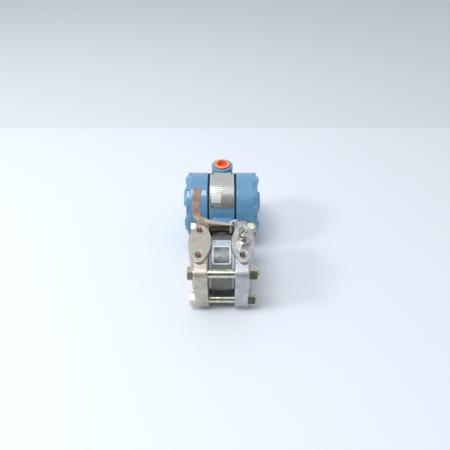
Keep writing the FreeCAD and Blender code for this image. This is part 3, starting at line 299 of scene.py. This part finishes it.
# nameplate: brushed sheet with ruled rows above and plain fields below
def plateRecipe(s, place, v):
    x, y, z = along(s, place)
    turn = s.sums("ARCTAN2", y - plateY * mm, z - plateZ * mm)
    arc = turn * v["radius"]
    row = arc * (1 / v["pitch"])
    lines = fade(s, abs(row % 1.0 - 0.5), v["stroke"] + 0.1, v["stroke"])
    inside = fade(s, abs(x), v["half"], v["half"] - 0.0002)
    breaks = fade(s, speckle(s, place, 1, 1, 0.5, (300, 1000, 1000)), 0.36, 0.42)
    soft = v["soft"]  # width of a printed edge
    upper = fade(s, arc, v["rowsLow"], v["rowsLow"] + soft) * fade(s, arc, v["rowsHigh"], v["rowsHigh"] - soft)
    ruled = lines * inside * breaks * upper
    lower = fade(s, arc, v["rowsLow"] - 2 * soft, v["rowsLow"] - 3 * soft)
    low = lower * fade(s, arc, v["end"] - soft, v["end"]) * inside
    right = fade(s, x, v["gutter"] + soft, v["gutter"] + 2 * soft)
    left = fade(s, x, v["gutter"] - soft, v["gutter"] - 2 * soft)
    foot = fade(s, arc, v["foot"] - soft, v["foot"] - 2 * soft)
    block = low * (right * (1 - foot) + left * foot)  # fine ruled rows
    panel = low * left * (1 - foot)  # a pale bare field
    dense = fade(s, abs(arc * (1 / v["finePitch"]) % 1.0 - 0.5), 0.34, 0.22)
    brush = speckle(s, place, 1, 4, 0.6, (90, 3500, 3500))
    colour = tint(s, brush, v["dark"], v["light"])
    colour = tint(s, ruled * 0.6, colour, v["ink"])
    colour = tint(s, block * dense * 0.8, colour, v["ink"])
    colour = tint(s, panel * 0.8, colour, v["pale"])
    printed = ruled + block
    waves = speckle(s, place, 1, 2, 0.5, (25, 500, 500))
    rough = v["rough"] + 0.05 * brush + 0.05 * printed + 0.2 * panel
    height = v["wave"] * waves + 0.00002 * brush + v["lean"] * arc - v["skew"] * x  # the sheet ripples and leans
    return {"Base Color": colour, "Roughness": rough, "Metallic": 0.85 - 0.35 * printed - 0.6 * panel,
            "Normal": relief(s, height, 1.0)}


brushedPlate = {"dark": tone(208, 211, 206), "light": tone(238, 241, 236), "ink": tone(96, 102, 104),
                "pale": tone(232, 236, 230), "radius": 0.05345, "pitch": 0.0034, "finePitch": 0.0013,
                "stroke": 0.14, "half": 0.0152, "soft": 0.0003, "gutter": -0.001, "rowsLow": -0.0292,
                "rowsHigh": 0.0088, "foot": -0.0425, "end": -0.0487, "rough": 0.13, "lean": 0.06,
                "skew": 0.018, "wave": 0.00012}


# sensor label: printed foil with a pale frame round a bare field
def labelRecipe(s, place, v):
    x, y, z = along(s, place)
    turn = s.sums("ARCTAN2", y, z - axisZ * mm)
    arc = turn * v["radius"]
    side = abs(x) - (v["halfWide"] - v["corner"])
    end = abs(arc - v["middle"]) - (v["halfLong"] - v["corner"])
    out = [s.sums("MAXIMUM", part, 0.0) for part in (side, end)]
    far = s.node("Math", {"operation": "SQRT"}, {0: out[0] * out[0] + out[1] * out[1]}) - v["corner"]
    edge = fade(s, abs(far), v["stroke"], v["stroke"] - 0.0002)
    field = fade(s, far, 0.0, -0.0002)
    top = v["middle"] + v["halfLong"]
    above = fade(s, arc, top - 0.0002, top + 0.0002)
    holeX, holeY = abs(x) - v["holeX"], arc - v["holeY"]
    holes = fade(s, holeX * holeX + holeY * holeY, v["holeOut"] ** 2, v["holeIn"] ** 2)
    dash = fade(s, abs(arc), 0.0004, 0.0002) * fade(s, abs(x), 0.0046, 0.0042) * above * 0.5
    mottle = speckle(s, place, 650, 5, 0.7)
    cloud = speckle(s, place, 160, 3)
    colour = tint(s, mottle, v["foilDark"], v["foilLight"])
    colour = tint(s, above, colour, v["strip"])
    bare = tint(s, fade(s, 0.5 * mottle + 0.5 * cloud, 0.36, 0.64), v["fieldDark"], v["fieldLight"])
    colour = tint(s, field, colour, bare)
    colour = tint(s, edge, colour, v["frame"])
    colour = tint(s, holes + dash, colour, v["hole"])
    pale = s.sums("MAXIMUM", edge, above * 0.8)
    rough = 0.3 + 0.2 * mottle + 0.15 * edge
    return {"Base Color": colour, "Roughness": rough, "Metallic": 0.7 - 0.65 * pale,
            "Normal": relief(s, mottle, 0.00004, 0.5)}


labelFoil = {"foilDark": tone(120, 128, 130), "foilLight": tone(170, 178, 180), "fieldDark": tone(98, 102, 106),
             "fieldLight": tone(146, 150, 153), "frame": tone(228, 236, 244), "strip": tone(190, 202, 212),
             "hole": tone(56, 62, 72), "holeOut": 0.00095, "holeIn": 0.0007, "radius": 0.0373,
             "middle": -0.0155, "halfLong": 0.0113, "halfWide": 0.0106, "corner": 0.0022, "stroke": 0.0009,
             "holeX": 0.0081, "holeY": 0.0033}

finishes = {
    "blue_paint": makeFinish("bluePaint", paintRecipe, bluePaint),
    "cast_steel_warm": makeFinish("warmCast", castRecipe, warmCast),
    "cast_steel": makeFinish("coolCast", castRecipe, coolCast),
    "zinc_plate": makeFinish("boltZinc", platedRecipe, boltZinc),
    "bright_steel": makeFinish("brightSteel", platedRecipe, brightSteel),
    "sensor_steel": makeFinish("sensorSteel", sensorRecipe, sensorSteel),
    "foil_steel": makeFinish("foilSteel", platedRecipe, foilSteel),
    "header_metal": makeFinish("headerMetal", platedRecipe, headerMetal),
    "can_metal": makeFinish("canMetal", platedRecipe, canMetal),
    "tie_wire": makeFinish("tieWire", platedRecipe, tieWire),
    "tag_metal": makeFinish("tagMetal", platedRecipe, tagMetal),
    "orange_plastic": makeFinish("shippingPlug", mouldedRecipe, shippingPlug),
    "black_rubber": makeFinish("blackRubber", mouldedRecipe, blackRubber),
    "black_plastic": makeFinish("blackPlastic", mouldedRecipe, blackPlastic),
    "white_seal": makeFinish("whiteSeal", mouldedRecipe, whiteSeal),
    "trimmer_blue": makeFinish("trimmerBlue", mouldedRecipe, trimmerBlue),
    "board_green": makeFinish("boardGreen", boardRecipe, boardGreen),
    "brushed_plate": makeFinish("brushedPlate", plateRecipe, brushedPlate),
    "label_foil": makeFinish("labelFoil", labelRecipe, labelFoil),
}
slotOf = {part["node"]: part["material_slot"] for part in frame["record"]["subparts"]}
bodyOf = {n: b for b, group in frame["record"]["behaviour"]["bodies"].items() for n in group}
for name, node in nodes.items():
    node.data.materials.clear()
    node.data.materials.append(finishes[slotOf[name]])
print("finishes:", len(finishes))


# mesh helpers, all in millimetres
def tidyMesh(mesh, angle):
    shape = bmesh.new()
    shape.from_mesh(mesh)
    bmesh.ops.remove_doubles(shape, verts=shape.verts, dist=1e-7)
    bmesh.ops.recalc_face_normals(shape, faces=shape.faces)
    shape.to_mesh(mesh)
    shape.free()
    mesh.shade_smooth()
    mesh.set_sharp_from_angle(angle=math.radians(angle))


class Shape:  # points and faces gathered for one piece
    def __init__(self):
        self.points = []
        self.faces = []

    def grid(self, rows, closed=True):  # rows of equal length, joined row to row
        first = len(self.points)
        wide = len(rows[0])
        for row in rows:
            self.points += [tuple(p) for p in row]
        for i in range(len(rows) - 1):
            for j in range(wide if closed else wide - 1):
                k = (j + 1) % wide
                a, b = first + i * wide, first + (i + 1) * wide
                self.faces.append((a + j, a + k, b + k, b + j))

    def cap(self, row):
        first = len(self.points)
        self.points += [tuple(p) for p in row]
        self.faces.append(tuple(range(first, first + len(row))))

    def mesh(self, name, angle=35):
        made = bpy.data.meshes.new(name)
        made.from_pydata([Vector(p) * mm for p in self.points], [], self.faces)
        tidyMesh(made, angle)
        return made

    def place(self, name, body, slot, angle=35):
        made = bpy.data.objects.new(name, self.mesh(name, angle))
        bpy.context.scene.collection.objects.link(made)
        made.data.materials.append(finishes[slot])
        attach(made, body)
        return made

    def standFor(self, name, node, angle=35):  # placed on the node's body, with its finish, in its stead
        made = self.place(name, bodyOf[node], slotOf[node], angle)
        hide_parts(node)
        return made


def facing(direction):  # a turn that takes Z to the direction
    return Vector((0, 0, 1)).rotation_difference(Vector(direction)).to_matrix()


def ring(centre, turn, height, radius, steps):  # radius and height may change with the angle
    row = []
    for k in range(steps):
        angle = 2 * math.pi * k / steps
        r = radius(angle) if callable(radius) else radius
        h = height(angle) if callable(height) else height
        row.append(Vector(centre) + turn @ Vector((r * math.cos(angle), r * math.sin(angle), h)))
    return row


def lathe(shape, centre, direction, profile, steps=64, caps=True):  # profile of (height, radius)
    turn = facing(direction)
    rows = [ring(centre, turn, h, r, steps) for h, r in profile]
    shape.grid(rows)
    if caps:
        shape.cap(rows[0])
        shape.cap(rows[-1])


def rounded(corners, radius, steps=4):  # a profile with its inner corners eased
    out = [corners[0]]
    for before, here, after in zip(corners, corners[1:], corners[2:]):
        p, q, r = Vector(before), Vector(here), Vector(after)
        ease = min(radius, (p - q).length * 0.45, (r - q).length * 0.45)
        start, stop = q + (p - q).normalized() * ease, q + (r - q).normalized() * ease
        for k in range(steps + 1):
            u = k / steps
            out.append(tuple(start * (1 - u) ** 2 + q * 2 * u * (1 - u) + stop * u * u))
    return out + [corners[-1]]


def hexagon(flats, twist=0.0):  # reach of a hexagon at each angle
    def radius(angle):
        lean = (angle - math.radians(twist)) % (math.pi / 3) - math.pi / 6
        return flats / 2 / math.cos(lean)
    return radius


def hexBlock(shape, centre, direction, flats, low, high, bore=0.0, chamfer=(True, True), countersink=0.5, twist=0.0):
    turn = facing(direction)
    reach = hexagon(flats, twist)
    flat = flats / 2 * 0.96
    slope = math.tan(math.radians(28))
    steps = 72

    def drop(end, sign):
        return lambda angle: end - sign * max(0.0, reach(angle) - flat) * slope

    rows = []
    if bore:
        rows.append(ring(centre, turn, low + countersink, bore, steps))
        rows.append(ring(centre, turn, low, bore + countersink, steps))
    rows.append(ring(centre, turn, low, flat, steps))
    rows.append(ring(centre, turn, drop(low, -1) if chamfer[0] else low, reach, steps))
    rows.append(ring(centre, turn, drop(high, 1) if chamfer[1] else high, reach, steps))
    rows.append(ring(centre, turn, high, flat, steps))
    if bore:
        rows.append(ring(centre, turn, high, bore + countersink, steps))
        rows.append(ring(centre, turn, high - countersink, bore, steps))
        rows.append(rows[0])
    shape.grid(rows)
    if not bore:
        shape.cap(rows[0])
        shape.cap(rows[-1])


def thread(shape, centre, direction, root, crest, low, high, pitch, steps=40):  # one helical ridge
    turn = facing(direction)
    turns = max(1, int((high - low) / pitch) - 1)
    rows = []
    for k in range(turns * steps + 1):
        angle = 2 * math.pi * k / steps
        rise = low + pitch * k / steps
        end = min(k, turns * steps - k) / steps
        top = root + (crest - root) * min(1.0, end * 2)
        side = turn @ Vector((math.cos(angle), math.sin(angle), 0))
        axis = turn @ Vector((0, 0, 1))
        rows.append([Vector(centre) + side * r + axis * (rise + h * pitch)
                     for h, r in ((0.02, root), (0.44, top), (0.56, top), (0.98, root))])
    shape.grid(rows, closed=False)


def tube(shape, points, radius, steps=12):  # a round wire along the points
    side = None
    rows = []
    for i, point in enumerate(points):
        ahead = (points[min(i + 1, len(points) - 1)] - points[max(i - 1, 0)]).normalized()
        side = ahead.orthogonal() if side is None else side - ahead * side.dot(ahead)
        side.normalize()
        up = ahead.cross(side)
        rows.append([point + (side * math.cos(a) + up * math.sin(a)) * radius
                     for a in (2 * math.pi * k / steps for k in range(steps))])
    shape.grid(rows)
    shape.cap(rows[0])
    shape.cap(rows[-1])


def smooth(knots, steps):  # points on a soft curve through the knots
    ends = [knots[0]] + list(knots) + [knots[-1]]
    points = []
    for i in range(1, len(ends) - 2):
        p, q, r, t = ends[i - 1:i + 3]
        for k in range(steps):
            u = k / steps
            points.append(0.5 * (2 * q + (r - p) * u + (2 * p - 5 * q + 4 * r - t) * u ** 2
                                 + (3 * q - p - 3 * r + t) * u ** 3))
    return points + [knots[-1]]


def baked(made):  # the object's mesh with its modifiers worked in
    bpy.context.view_layer.update()
    seen = made.evaluated_get(bpy.context.evaluated_depsgraph_get())
    mesh = bpy.data.meshes.new_from_object(seen)
    made.modifiers.clear()
    made.data = mesh
    return mesh


def castPiece(name, node, v):  # the solid skinned over and softened as a casting
    made = bpy.data.objects.new(name, nodes[node].data.copy())
    bpy.context.scene.collection.objects.link(made)
    skin = made.modifiers.new("skin", "REMESH")
    skin.mode = "VOXEL"
    skin.voxel_size = v["voxel"] * mm
    soft = made.modifiers.new("soft", "SMOOTH")
    soft.factor = 0.5
    soft.iterations = v["rounds"]
    mesh = baked(made)
    mesh.shade_smooth()
    mesh.materials.clear()
    mesh.materials.append(finishes[slotOf[node]])
    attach(made, bodyOf[node])
    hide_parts(node)
    print(name, len(mesh.polygons), "faces")


castSkins = {"housingCasting": ("electronics_housing", {"voxel": 0.9, "rounds": 5}),
             "leftCap": ("left_cover", {"voxel": 0.8, "rounds": 4}),
             "rightCap": ("right_cover", {"voxel": 0.8, "rounds": 4}),
             "leftFlangeCasting": ("left_flange", {"voxel": 0.68, "rounds": 2}),
             "rightFlangeCasting": ("right_flange", {"voxel": 0.68, "rounds": 2})}
for name, (node, v) in castSkins.items():
    castPiece(name, node, v)

# bolts: chamfered hexagon heads, plain rods, threaded tails, each turned its own way
bolt = {"flats": 15.9, "head": 7.2, "outer": 33.5, "rod": 5.5, "root": 4.95, "crest": 5.55, "pitch": 1.27,
        "threadStart": 30.0, "end": 45.7, "washer": 0.5,
        "turns": {(1, 1): 52, (-1, 1): 30, (1, -1): 14, (-1, -1): 44}}
nut = {"flats": 17.0, "low": 33.5, "high": 43.0, "bore": 5.6,
       "turns": {(1, 1): 58, (-1, 1): 20, (1, -1): 33, (-1, -1): 21}}
bolts, nuts = Shape(), Shape()
for sy in (1, -1):
    for sz in (1, -1):
        spot = (0, sy * boltY, axisZ + sz * boltZ)
        base = -bolt["outer"]
        seat = base - bolt["washer"]
        hexBlock(bolts, spot, (1, 0, 0), bolt["flats"], base - bolt["head"], seat, chamfer=(True, False),
                 twist=bolt["turns"][sy, sz])
        lathe(bolts, spot, (1, 0, 0), [(seat, bolt["flats"] * 0.47), (base, bolt["flats"] * 0.47)])
        lathe(bolts, spot, (1, 0, 0), [(base, bolt["rod"]), (bolt["threadStart"], bolt["rod"]),
                                       (bolt["threadStart"] + 0.6, bolt["root"]), (bolt["end"] - 0.5, bolt["root"]),
                                       (bolt["end"], bolt["root"] - 0.5)], 48)
        thread(bolts, spot, (1, 0, 0), bolt["root"] - 0.05, bolt["crest"], bolt["threadStart"], bolt["end"] - 0.1,
               bolt["pitch"])
        hexBlock(nuts, spot, (1, 0, 0), nut["flats"], nut["low"], nut["high"], nut["bore"],
                 twist=nut["turns"][sy, sz])
bolts.standFor("boltSet", "flange_bolts")
nuts.standFor("nutSet", "flange_nuts")

# threads in the tapped pads, the process port and the rear conduit entry, and on the collars
tap = {"root": 4.98, "crest": 4.45, "low": 0.5, "high": 16.0, "pitch": 1.8}
port = {"root": 5.58, "crest": 5.0, "low": 0.6, "high": 17.0, "pitch": 1.41}
entry = {"root": 9.53, "crest": 8.8, "low": 0.6, "high": 19.0, "pitch": 1.81}
collar = {"root": 41.9, "crest": 42.2, "low": 22.0, "high": 31.6, "pitch": 2.0, "steps": 96}
for side, slot in ((-1, "cast_steel_warm"), (1, "cast_steel")):
    ridges = Shape()
    for sy in (1, -1):
        for level, way in ((padZ, -1), (0.0, 1)):
            thread(ridges, (side * portX, sy * tapY, level), (0, 0, way), **tap)
    if side > 0:
        thread(ridges, (portX, 0, 0), (0, 0, 1), **port)
    ridges.place("leftTaps" if side < 0 else "rightTaps", "process_body", slot, 60)
conduit = Shape()
thread(conduit, (0, hubY, hubBack), (0, 0, 1), **entry)
for side in (-1, 1):
    thread(conduit, (0, axisY, axisZ), (side, 0, 0), **collar)
conduit.place("housingThreads", "housing", "blue_paint", 60)
print("threads and fasteners done")

# sensor can with eased edges, weld beads and a threaded neck
can = {"band": 37.0, "bandHalf": 12.2, "shoulder": 34.8, "shoulderHalf": 15.7, "face": 33.0, "half": 16.5,
       "recess": 27.5, "floor": 15.0, "bead": 0.35, "neck": 13.0, "neckLow": 30.0, "neckStep": 44.0, "core": 12.4,
       "neckTop": 72.0}
half = [(can["floor"], 0.02), (can["floor"], can["recess"]), (can["half"], can["recess"]), (can["half"], can["face"]),
        (can["shoulderHalf"], can["face"]), (can["shoulderHalf"], can["shoulder"]),
        (can["bandHalf"] + 1.4, can["shoulder"]), (can["bandHalf"] + 1.0, can["shoulder"] + can["bead"]),
        (can["bandHalf"] + 0.6, can["shoulder"]), (can["bandHalf"], can["shoulder"]), (can["bandHalf"], can["band"]),
        (can["bandHalf"] - 2.0, can["band"])]
sensor = Shape()
lathe(sensor, (0, 0, axisZ), (1, 0, 0), rounded([(-h, r) for h, r in half] + half[::-1], 0.4), 144)
neck = [(can["neckLow"], can["neck"]), (can["neckStep"], can["neck"]), (can["neckStep"] + 0.6, can["core"]),
        (can["neckTop"] - 1.2, can["core"]), (can["neckTop"], can["core"] - 0.8), (can["neckTop"], 0.02)]
lathe(sensor, (0, 0, axisZ), (0, 1, 0), rounded(neck, 0.3), 72)
thread(sensor, (0, 0, axisZ), (0, 1, 0), can["core"] - 0.05, can["neck"], can["neckStep"] + 1.0, can["neckTop"] - 1.0,
       1.8, 64)
sensor.standFor("sensorCan", "sensor_module")
lockNut = {"flats": 36.0, "low": 51.5, "high": 57.0, "bore": 13.1}
locks = Shape()
hexBlock(locks, (0, 0, axisZ), (0, 1, 0), lockNut["flats"], lockNut["low"], lockNut["high"], lockNut["bore"])
lockPiece = locks.standFor("lockNut", "neck_lock_nut")
lockPiece.data.materials[0] = makeFinish("shadedLockSteel", platedRecipe, shadedLockSteel)

# vent valve: hexagon seat with a turned collar, and a stem with a socket in its head
vent = {"flats": 15.9, "low": padZ, "high": 89.0, "collar": 5.6, "collarTop": 92.0, "shank": 6.4, "depth": 68.2,
        "bore": 3.5, "passage": 1.6, "turn": 15, "stemFlats": 11.1, "stemLow": 92.3, "stemHigh": 100.3, "stem": 3.2,
        "stemTip": 78.4, "point": 2.4, "socket": 2.6, "socketDepth": 4.0, "easing": 0.55, "stemTurn": 20}
seats, stems = Shape(), Shape()
spot = (portX, 0, 0)
hexBlock(seats, spot, (0, 0, 1), vent["flats"], vent["low"], vent["high"], vent["bore"], (False, True), 0.3,
         vent["turn"])
base = vent["high"] - 0.4  # the collar starts inside the hexagon
ringLine = [(base, vent["bore"]), (base, vent["collar"] + 0.9), (vent["high"] + 0.5, vent["collar"]),
            (vent["collarTop"], vent["collar"]), (vent["collarTop"], vent["bore"]), (base, vent["bore"])]
lathe(seats, spot, (0, 0, 1), rounded(ringLine, 0.5), 64, False)
shankLine = [(vent["low"] + 0.1, vent["shank"]), (vent["depth"], vent["shank"]), (vent["depth"], vent["passage"])]
lathe(seats, spot, (0, 0, 1), shankLine, 64)
seatPiece = seats.standFor("ventSeat", "vent_valve_seat")
reach = hexagon(vent["stemFlats"], vent["stemTurn"])
ventMetal = makeFinish("ventSteel", platedRecipe, ventSteel)
flat = vent["stemFlats"] / 2 * 0.95
low, high = vent["stemLow"], vent["stemHigh"]
stemLine = [(vent["stemTip"], 0.4), (vent["stemTip"] + vent["point"], vent["stem"]), (low, vent["stem"]), (low, flat),
            (lambda a: low + max(0, reach(a) - flat) * vent["easing"], reach),
            (lambda a: high - max(0, reach(a) - flat) * vent["easing"], reach),
            (high, flat), (high, vent["socket"] + 0.5), (high - 0.5, vent["socket"]),
            (high - vent["socketDepth"], vent["socket"]), (high - vent["socketDepth"] - 0.8, 0.05)]
lathe(stems, spot, (0, 0, 1), stemLine, 72)
stemPiece = stems.standFor("ventStem", "vent_valve_stem")
for made in (seatPiece, stemPiece):
    made.data.materials[0] = ventMetal

# conduit plug: rolled rim round a deep recess with grip ribs
plug = {"face": 93.0, "rim": 11.5, "top": 95.6, "shank": 9.2, "length": 13.0, "recess": 8.3, "floor": 85.6,
        "ribs": 12, "ribDepth": 0.35, "lift": 0.3, "button": 3.0}


def ribbed(radius):
    return lambda angle: radius - plug["ribDepth"] * max(0.0, math.cos(plug["ribs"] * angle)) ** 4


tail = plug["face"] - plug["length"]
seat = plug["face"] + plug["lift"]
outline = rounded([(tail, 0.02), (tail, plug["shank"] - 1.0), (tail + 1.0, plug["shank"]), (seat, plug["shank"]),
                   (seat, plug["rim"]), (plug["top"], plug["rim"]), (plug["top"], plug["recess"])], 0.9, 6)
outline += [(plug["top"] - 0.5, ribbed(plug["recess"])), (plug["floor"] + 0.8, ribbed(plug["recess"])),
            (plug["floor"], plug["recess"] - 0.9), (plug["floor"], plug["button"]),
            (plug["floor"] + 0.8, plug["button"] - 0.6), (plug["floor"] + 1.0, 0.05)]
plugs = Shape()
lathe(plugs, (0, hubY, 0), (0, 0, 1), outline, 96)
plugs.standFor("conduitPlug", "conduit_plug")

# rubber rings under the covers
seal = {"near": 18.3, "far": 20.1, "low": 42.3, "seam": 44.0, "high": 48.1}
for side, node in ((-1, "left_cover_seal"), (1, "right_cover_seal")):
    rings = Shape()
    corners = [(seal["near"], seal["seam"]), (seal["near"], seal["high"]), (seal["far"], seal["high"]),
               (seal["far"], seal["low"]), (seal["near"], seal["low"]), (seal["near"], seal["seam"])]
    lathe(rings, (0, axisY, axisZ), (side, 0, 0), rounded(corners, 0.8, 6), 144, False)
    rings.standFor("leftSealRing" if side < 0 else "rightSealRing", node)

# nameplate drive screws with domed heads
drive = {"across": 13.8, "turns": (9.0, -50.0), "seat": 53.5, "head": 1.8, "shank": 1.1, "length": 5.0,
         "dome": [(0.4, 1.8), (0.62, 1.4), (0.7, 1.0)]}
drives = Shape()
for degrees in drive["turns"]:
    lean = math.radians(degrees)
    out = Vector((0, math.sin(lean), math.cos(lean)))
    for side in (-1, 1):
        spot = Vector((side * drive["across"], plateY, plateZ)) + out * drive["seat"]
        pin = [(-drive["length"], drive["shank"]), (0, drive["shank"]), (0, drive["head"])]
        lathe(drives, spot, out, pin + drive["dome"], 32)
drivePiece = drives.standFor("driveScrews", "nameplate_screws")
drivePiece.data.materials[0] = makeFinish("driveSteel", platedRecipe, driveSteel)
print("turned pieces done")

# bent tag: a thin strip that turns its face forward as it bends upwards
tag = {"hole": Vector((11.8, 34.0, 79.4)), "run": 44.6, "reach": 52.0, "end": 3.4, "half": 5.5, "thin": 0.3,
       "ease": 0.2, "corner": 2.2, "bore": 1.7}
lying = (0, -0.84, 0.545)
stations = [((-tag["end"] / tag["run"], 0, 0), lying), ((0, 0, 0), lying),
            ((0.305, 0.012, 0.031), (0, -0.9, 0.44)), ((0.61, 0.012, 0.083), (-0.04, -0.92, 0.38)),
            ((0.8, 0.019, 0.141), (-0.18, -0.96, 0.22)), ((0.91, 0.034, 0.175), (-0.4, -0.87, 0.28)),
            ((0.993, 0.081, 0.238), (-0.65, -0.76, -0.06)), ((1.011, 0.131, 0.333), (-0.87, -0.46, 0.15)),
            ((1.002, 0.183, 0.454), (-0.95, -0.21, 0.21)), ((0.984, 0.244, 0.638), (-1, -0.05, 0.05)),
            ((0.937, 0.315, 0.938), (-1, 0, 0))]
spots = [Vector((-a * tag["run"], b * tag["reach"], c * tag["reach"])) for (a, b, c), lie in stations]
middle = smooth([tag["hole"] + spot for spot in spots], 12)
lean = smooth([Vector(lie) for at, lie in stations], 12)
gone = [0.0]
for p, q in zip(middle, middle[1:]):
    gone.append(gone[-1] + (q - p).length)
strip = Shape()
rows = []
for i, centre in enumerate(middle):
    ahead = (middle[min(i + 1, len(middle) - 1)] - middle[max(i - 1, 0)]).normalized()
    side = (lean[i] - ahead * lean[i].dot(ahead)).normalized()
    face = ahead.cross(side)
    left = min(gone[i], gone[-1] - gone[i])
    cut = tag["corner"] - math.sqrt(max(0.0, tag["corner"] ** 2 - max(0.0, tag["corner"] - left) ** 2))
    wide = tag["half"] - cut
    t, inner = tag["thin"], wide - tag["ease"]
    upper = [(wide, t / 2), (inner, t)] + [(wide * k / 3, t) for k in (2, 1, 0, -1, -2)] + [(-inner, t), (-wide, t / 2)]
    outline = upper + [(-a, -b) for a, b in upper]
    rows.append([centre + side * a + face * b for a, b in outline])
strip.grid(rows)
strip.cap(rows[0])
strip.cap(rows[-1])
tagPiece = strip.standFor("tagStrip", "tag_strip", 50)
punch = Shape()
lathe(punch, tag["hole"], (0, 0, 1), [(-6, tag["bore"]), (6, tag["bore"])], 32)
tool = bpy.data.objects.new("punch", punch.mesh("punch"))
bpy.context.scene.collection.objects.link(tool)
bore = tagPiece.modifiers.new("bore", "BOOLEAN")
bore.operation = "DIFFERENCE"
bore.object = tool
mesh = baked(tagPiece)
bpy.data.objects.remove(tool)
mesh.set_sharp_from_angle(angle=math.radians(50))

# tie wire: two strands round the bolt, twisted up through the tag's hole, loose ends
tie = {"wire": 0.72, "loop": 6.7, "apart": 0.72, "x": 11.8, "leave": 130, "under": 3.0, "over": 2.0, "turns": 2.5,
       "arcs": 45, "arc": 8,
       "tail": [(13.2, 36.4, 81.6), (16.4, 38.8, 81.4), (20.0, 41.0, 80.8)]}
rise = Vector((0, lying[2], -lying[1]))
foot = math.radians(tie["leave"])
start = Vector((tie["x"], boltY + tie["loop"] * math.cos(foot), axisZ + boltZ + tie["loop"] * math.sin(foot)))
knots = [start, tag["hole"] - rise * tie["under"], tag["hole"], tag["hole"] + rise * tie["over"]]
twist = smooth(knots + [Vector(p) for p in tie["tail"]], 6)
wires = Shape()
for sign in (1, -1):
    path = []
    for k in range(tie["arcs"]):
        angle = foot + math.radians(tie["arc"] * k)
        path.append(Vector((tie["x"] + sign * tie["apart"], boltY + tie["loop"] * math.cos(angle),
                            axisZ + boltZ + tie["loop"] * math.sin(angle))))
    side = Vector((1, 0, 0))
    for k, point in enumerate(twist[1:], 1):
        ahead = (twist[min(k + 1, len(twist) - 1)] - twist[k - 1]).normalized()
        side = (side - ahead * side.dot(ahead)).normalized()
        angle = (0 if sign > 0 else math.pi) + 2 * math.pi * tie["turns"] * k / len(twist)
        path.append(point + (side * math.cos(angle) + ahead.cross(side) * math.sin(angle)) * tie["apart"])
    for again in range(2):  # ease the kinks
        path = [path[0]] + [(a + 2 * b + c) / 4 for a, b, c in zip(path, path[1:], path[2:])] + [path[-1]]
    tube(wires, path, tie["wire"])
wires.standFor("tieWire", "tag_wire", 60)
print("tag and wire done")

# camera: the photograph's angle
view = {"place": (0.0043, -0.307, 0.4185), "tilt": 44.9, "sensor": 36, "focal": 366 / 450, "shiftY": 1 / 450}
eye = bpy.data.cameras.new("photoEye")
eye.lens = view["sensor"] * view["focal"]
eye.sensor_width = view["sensor"]
eye.clip_start = 0.01
eye.shift_y = view["shiftY"]
camera = bpy.data.objects.new("photoCamera", eye)
camera.location = view["place"]
camera.rotation_euler = (math.radians(view["tilt"]), 0, 0)
bpy.context.scene.collection.objects.link(camera)
bpy.context.scene.camera = camera

# pale floor under the pads' near ends and the hub's edge
floorValues = {"near": (-32.7, 0.0), "far": (131.5, -10.0), "half": 4.0, "colour": tone(231, 237, 246),
               "beyond": tone(222, 228, 236), "edge": 0.465}


def floorRecipe(s, place, v):
    x, y, z = along(s, place)
    cloud = speckle(s, place, 3, 2)
    beyond = fade(s, y, v["edge"] - 0.004, v["edge"] + 0.004)
    colour = tint(s, beyond, v["colour"], v["beyond"])
    return {"Base Color": colour, "Roughness": 0.6 + 0.1 * cloud}


(nearY, nearZ), (farY, farZ) = floorValues["near"], floorValues["far"]
slope = (farZ - nearZ) / (farY - nearY)
half = floorValues["half"]
corners = [(sx * half, sy * half, nearZ * mm + slope * (sy * half - nearY * mm))
           for sx, sy in ((-1, -1), (1, -1), (1, 1), (-1, 1))]
floorMesh = bpy.data.meshes.new("floor")
floorMesh.from_pydata(corners, [], [(0, 1, 2, 3)])
floorMesh.materials.append(makeFinish("floorPaper", floorRecipe, floorValues))
floor = bpy.data.objects.new("floor", floorMesh)
bpy.context.scene.collection.objects.link(floor)

# soft studio light: a box overhead to the left, a small one at the side, a pale room that is dim in front
lamps = {"keyBox": {"place": (-0.57, -0.155, 2.0), "aim": (-0.57, -0.155, 0.0), "wide": 0.98, "deep": 0.69,
                    "power": 18.0},
         "sideBox": {"place": (-1.75, -0.3, 1.4), "aim": (0.0, 0.04, 0.04), "wide": 0.4, "deep": 0.4,
                     "power": 13.0}}
for name, v in lamps.items():
    lamp = bpy.data.lights.new(name, "AREA")
    lamp.shape = "RECTANGLE"
    lamp.size = v["wide"]
    lamp.size_y = v["deep"]
    lamp.energy = v["power"]
    made = bpy.data.objects.new(name, lamp)
    made.location = v["place"]
    made.rotation_euler = (Vector(v["aim"]) - Vector(v["place"])).to_track_quat("-Z", "Y").to_euler()
    bpy.context.scene.collection.objects.link(made)

sky = {"bright": (0.67, 0.685, 0.705, 1), "dim": (0.12, 0.12, 0.125, 1), "start": 0.42, "stop": 0.72, "strength": 1.0}
world = bpy.data.worlds.new("studio")
world.use_nodes = True
bpy.context.scene.world = world
s = Sock(world.node_tree)
x, y, z = along(s, s.node("TexCoord", {}, {}, "Generated"))
lean = s.sums("ARCTAN2", 0.0 - y, z)
front = fade(s, lean, sky["start"], sky["stop"]) * fade(s, abs(x), 0.95, 0.6)
room = tint(s, front, sky["bright"], sky["dim"])
s.join(world.node_tree.nodes["Background"], {"Color": room, "Strength": sky["strength"]})
bpy.context.scene.view_settings.view_transform = "Standard"
print("stage done")
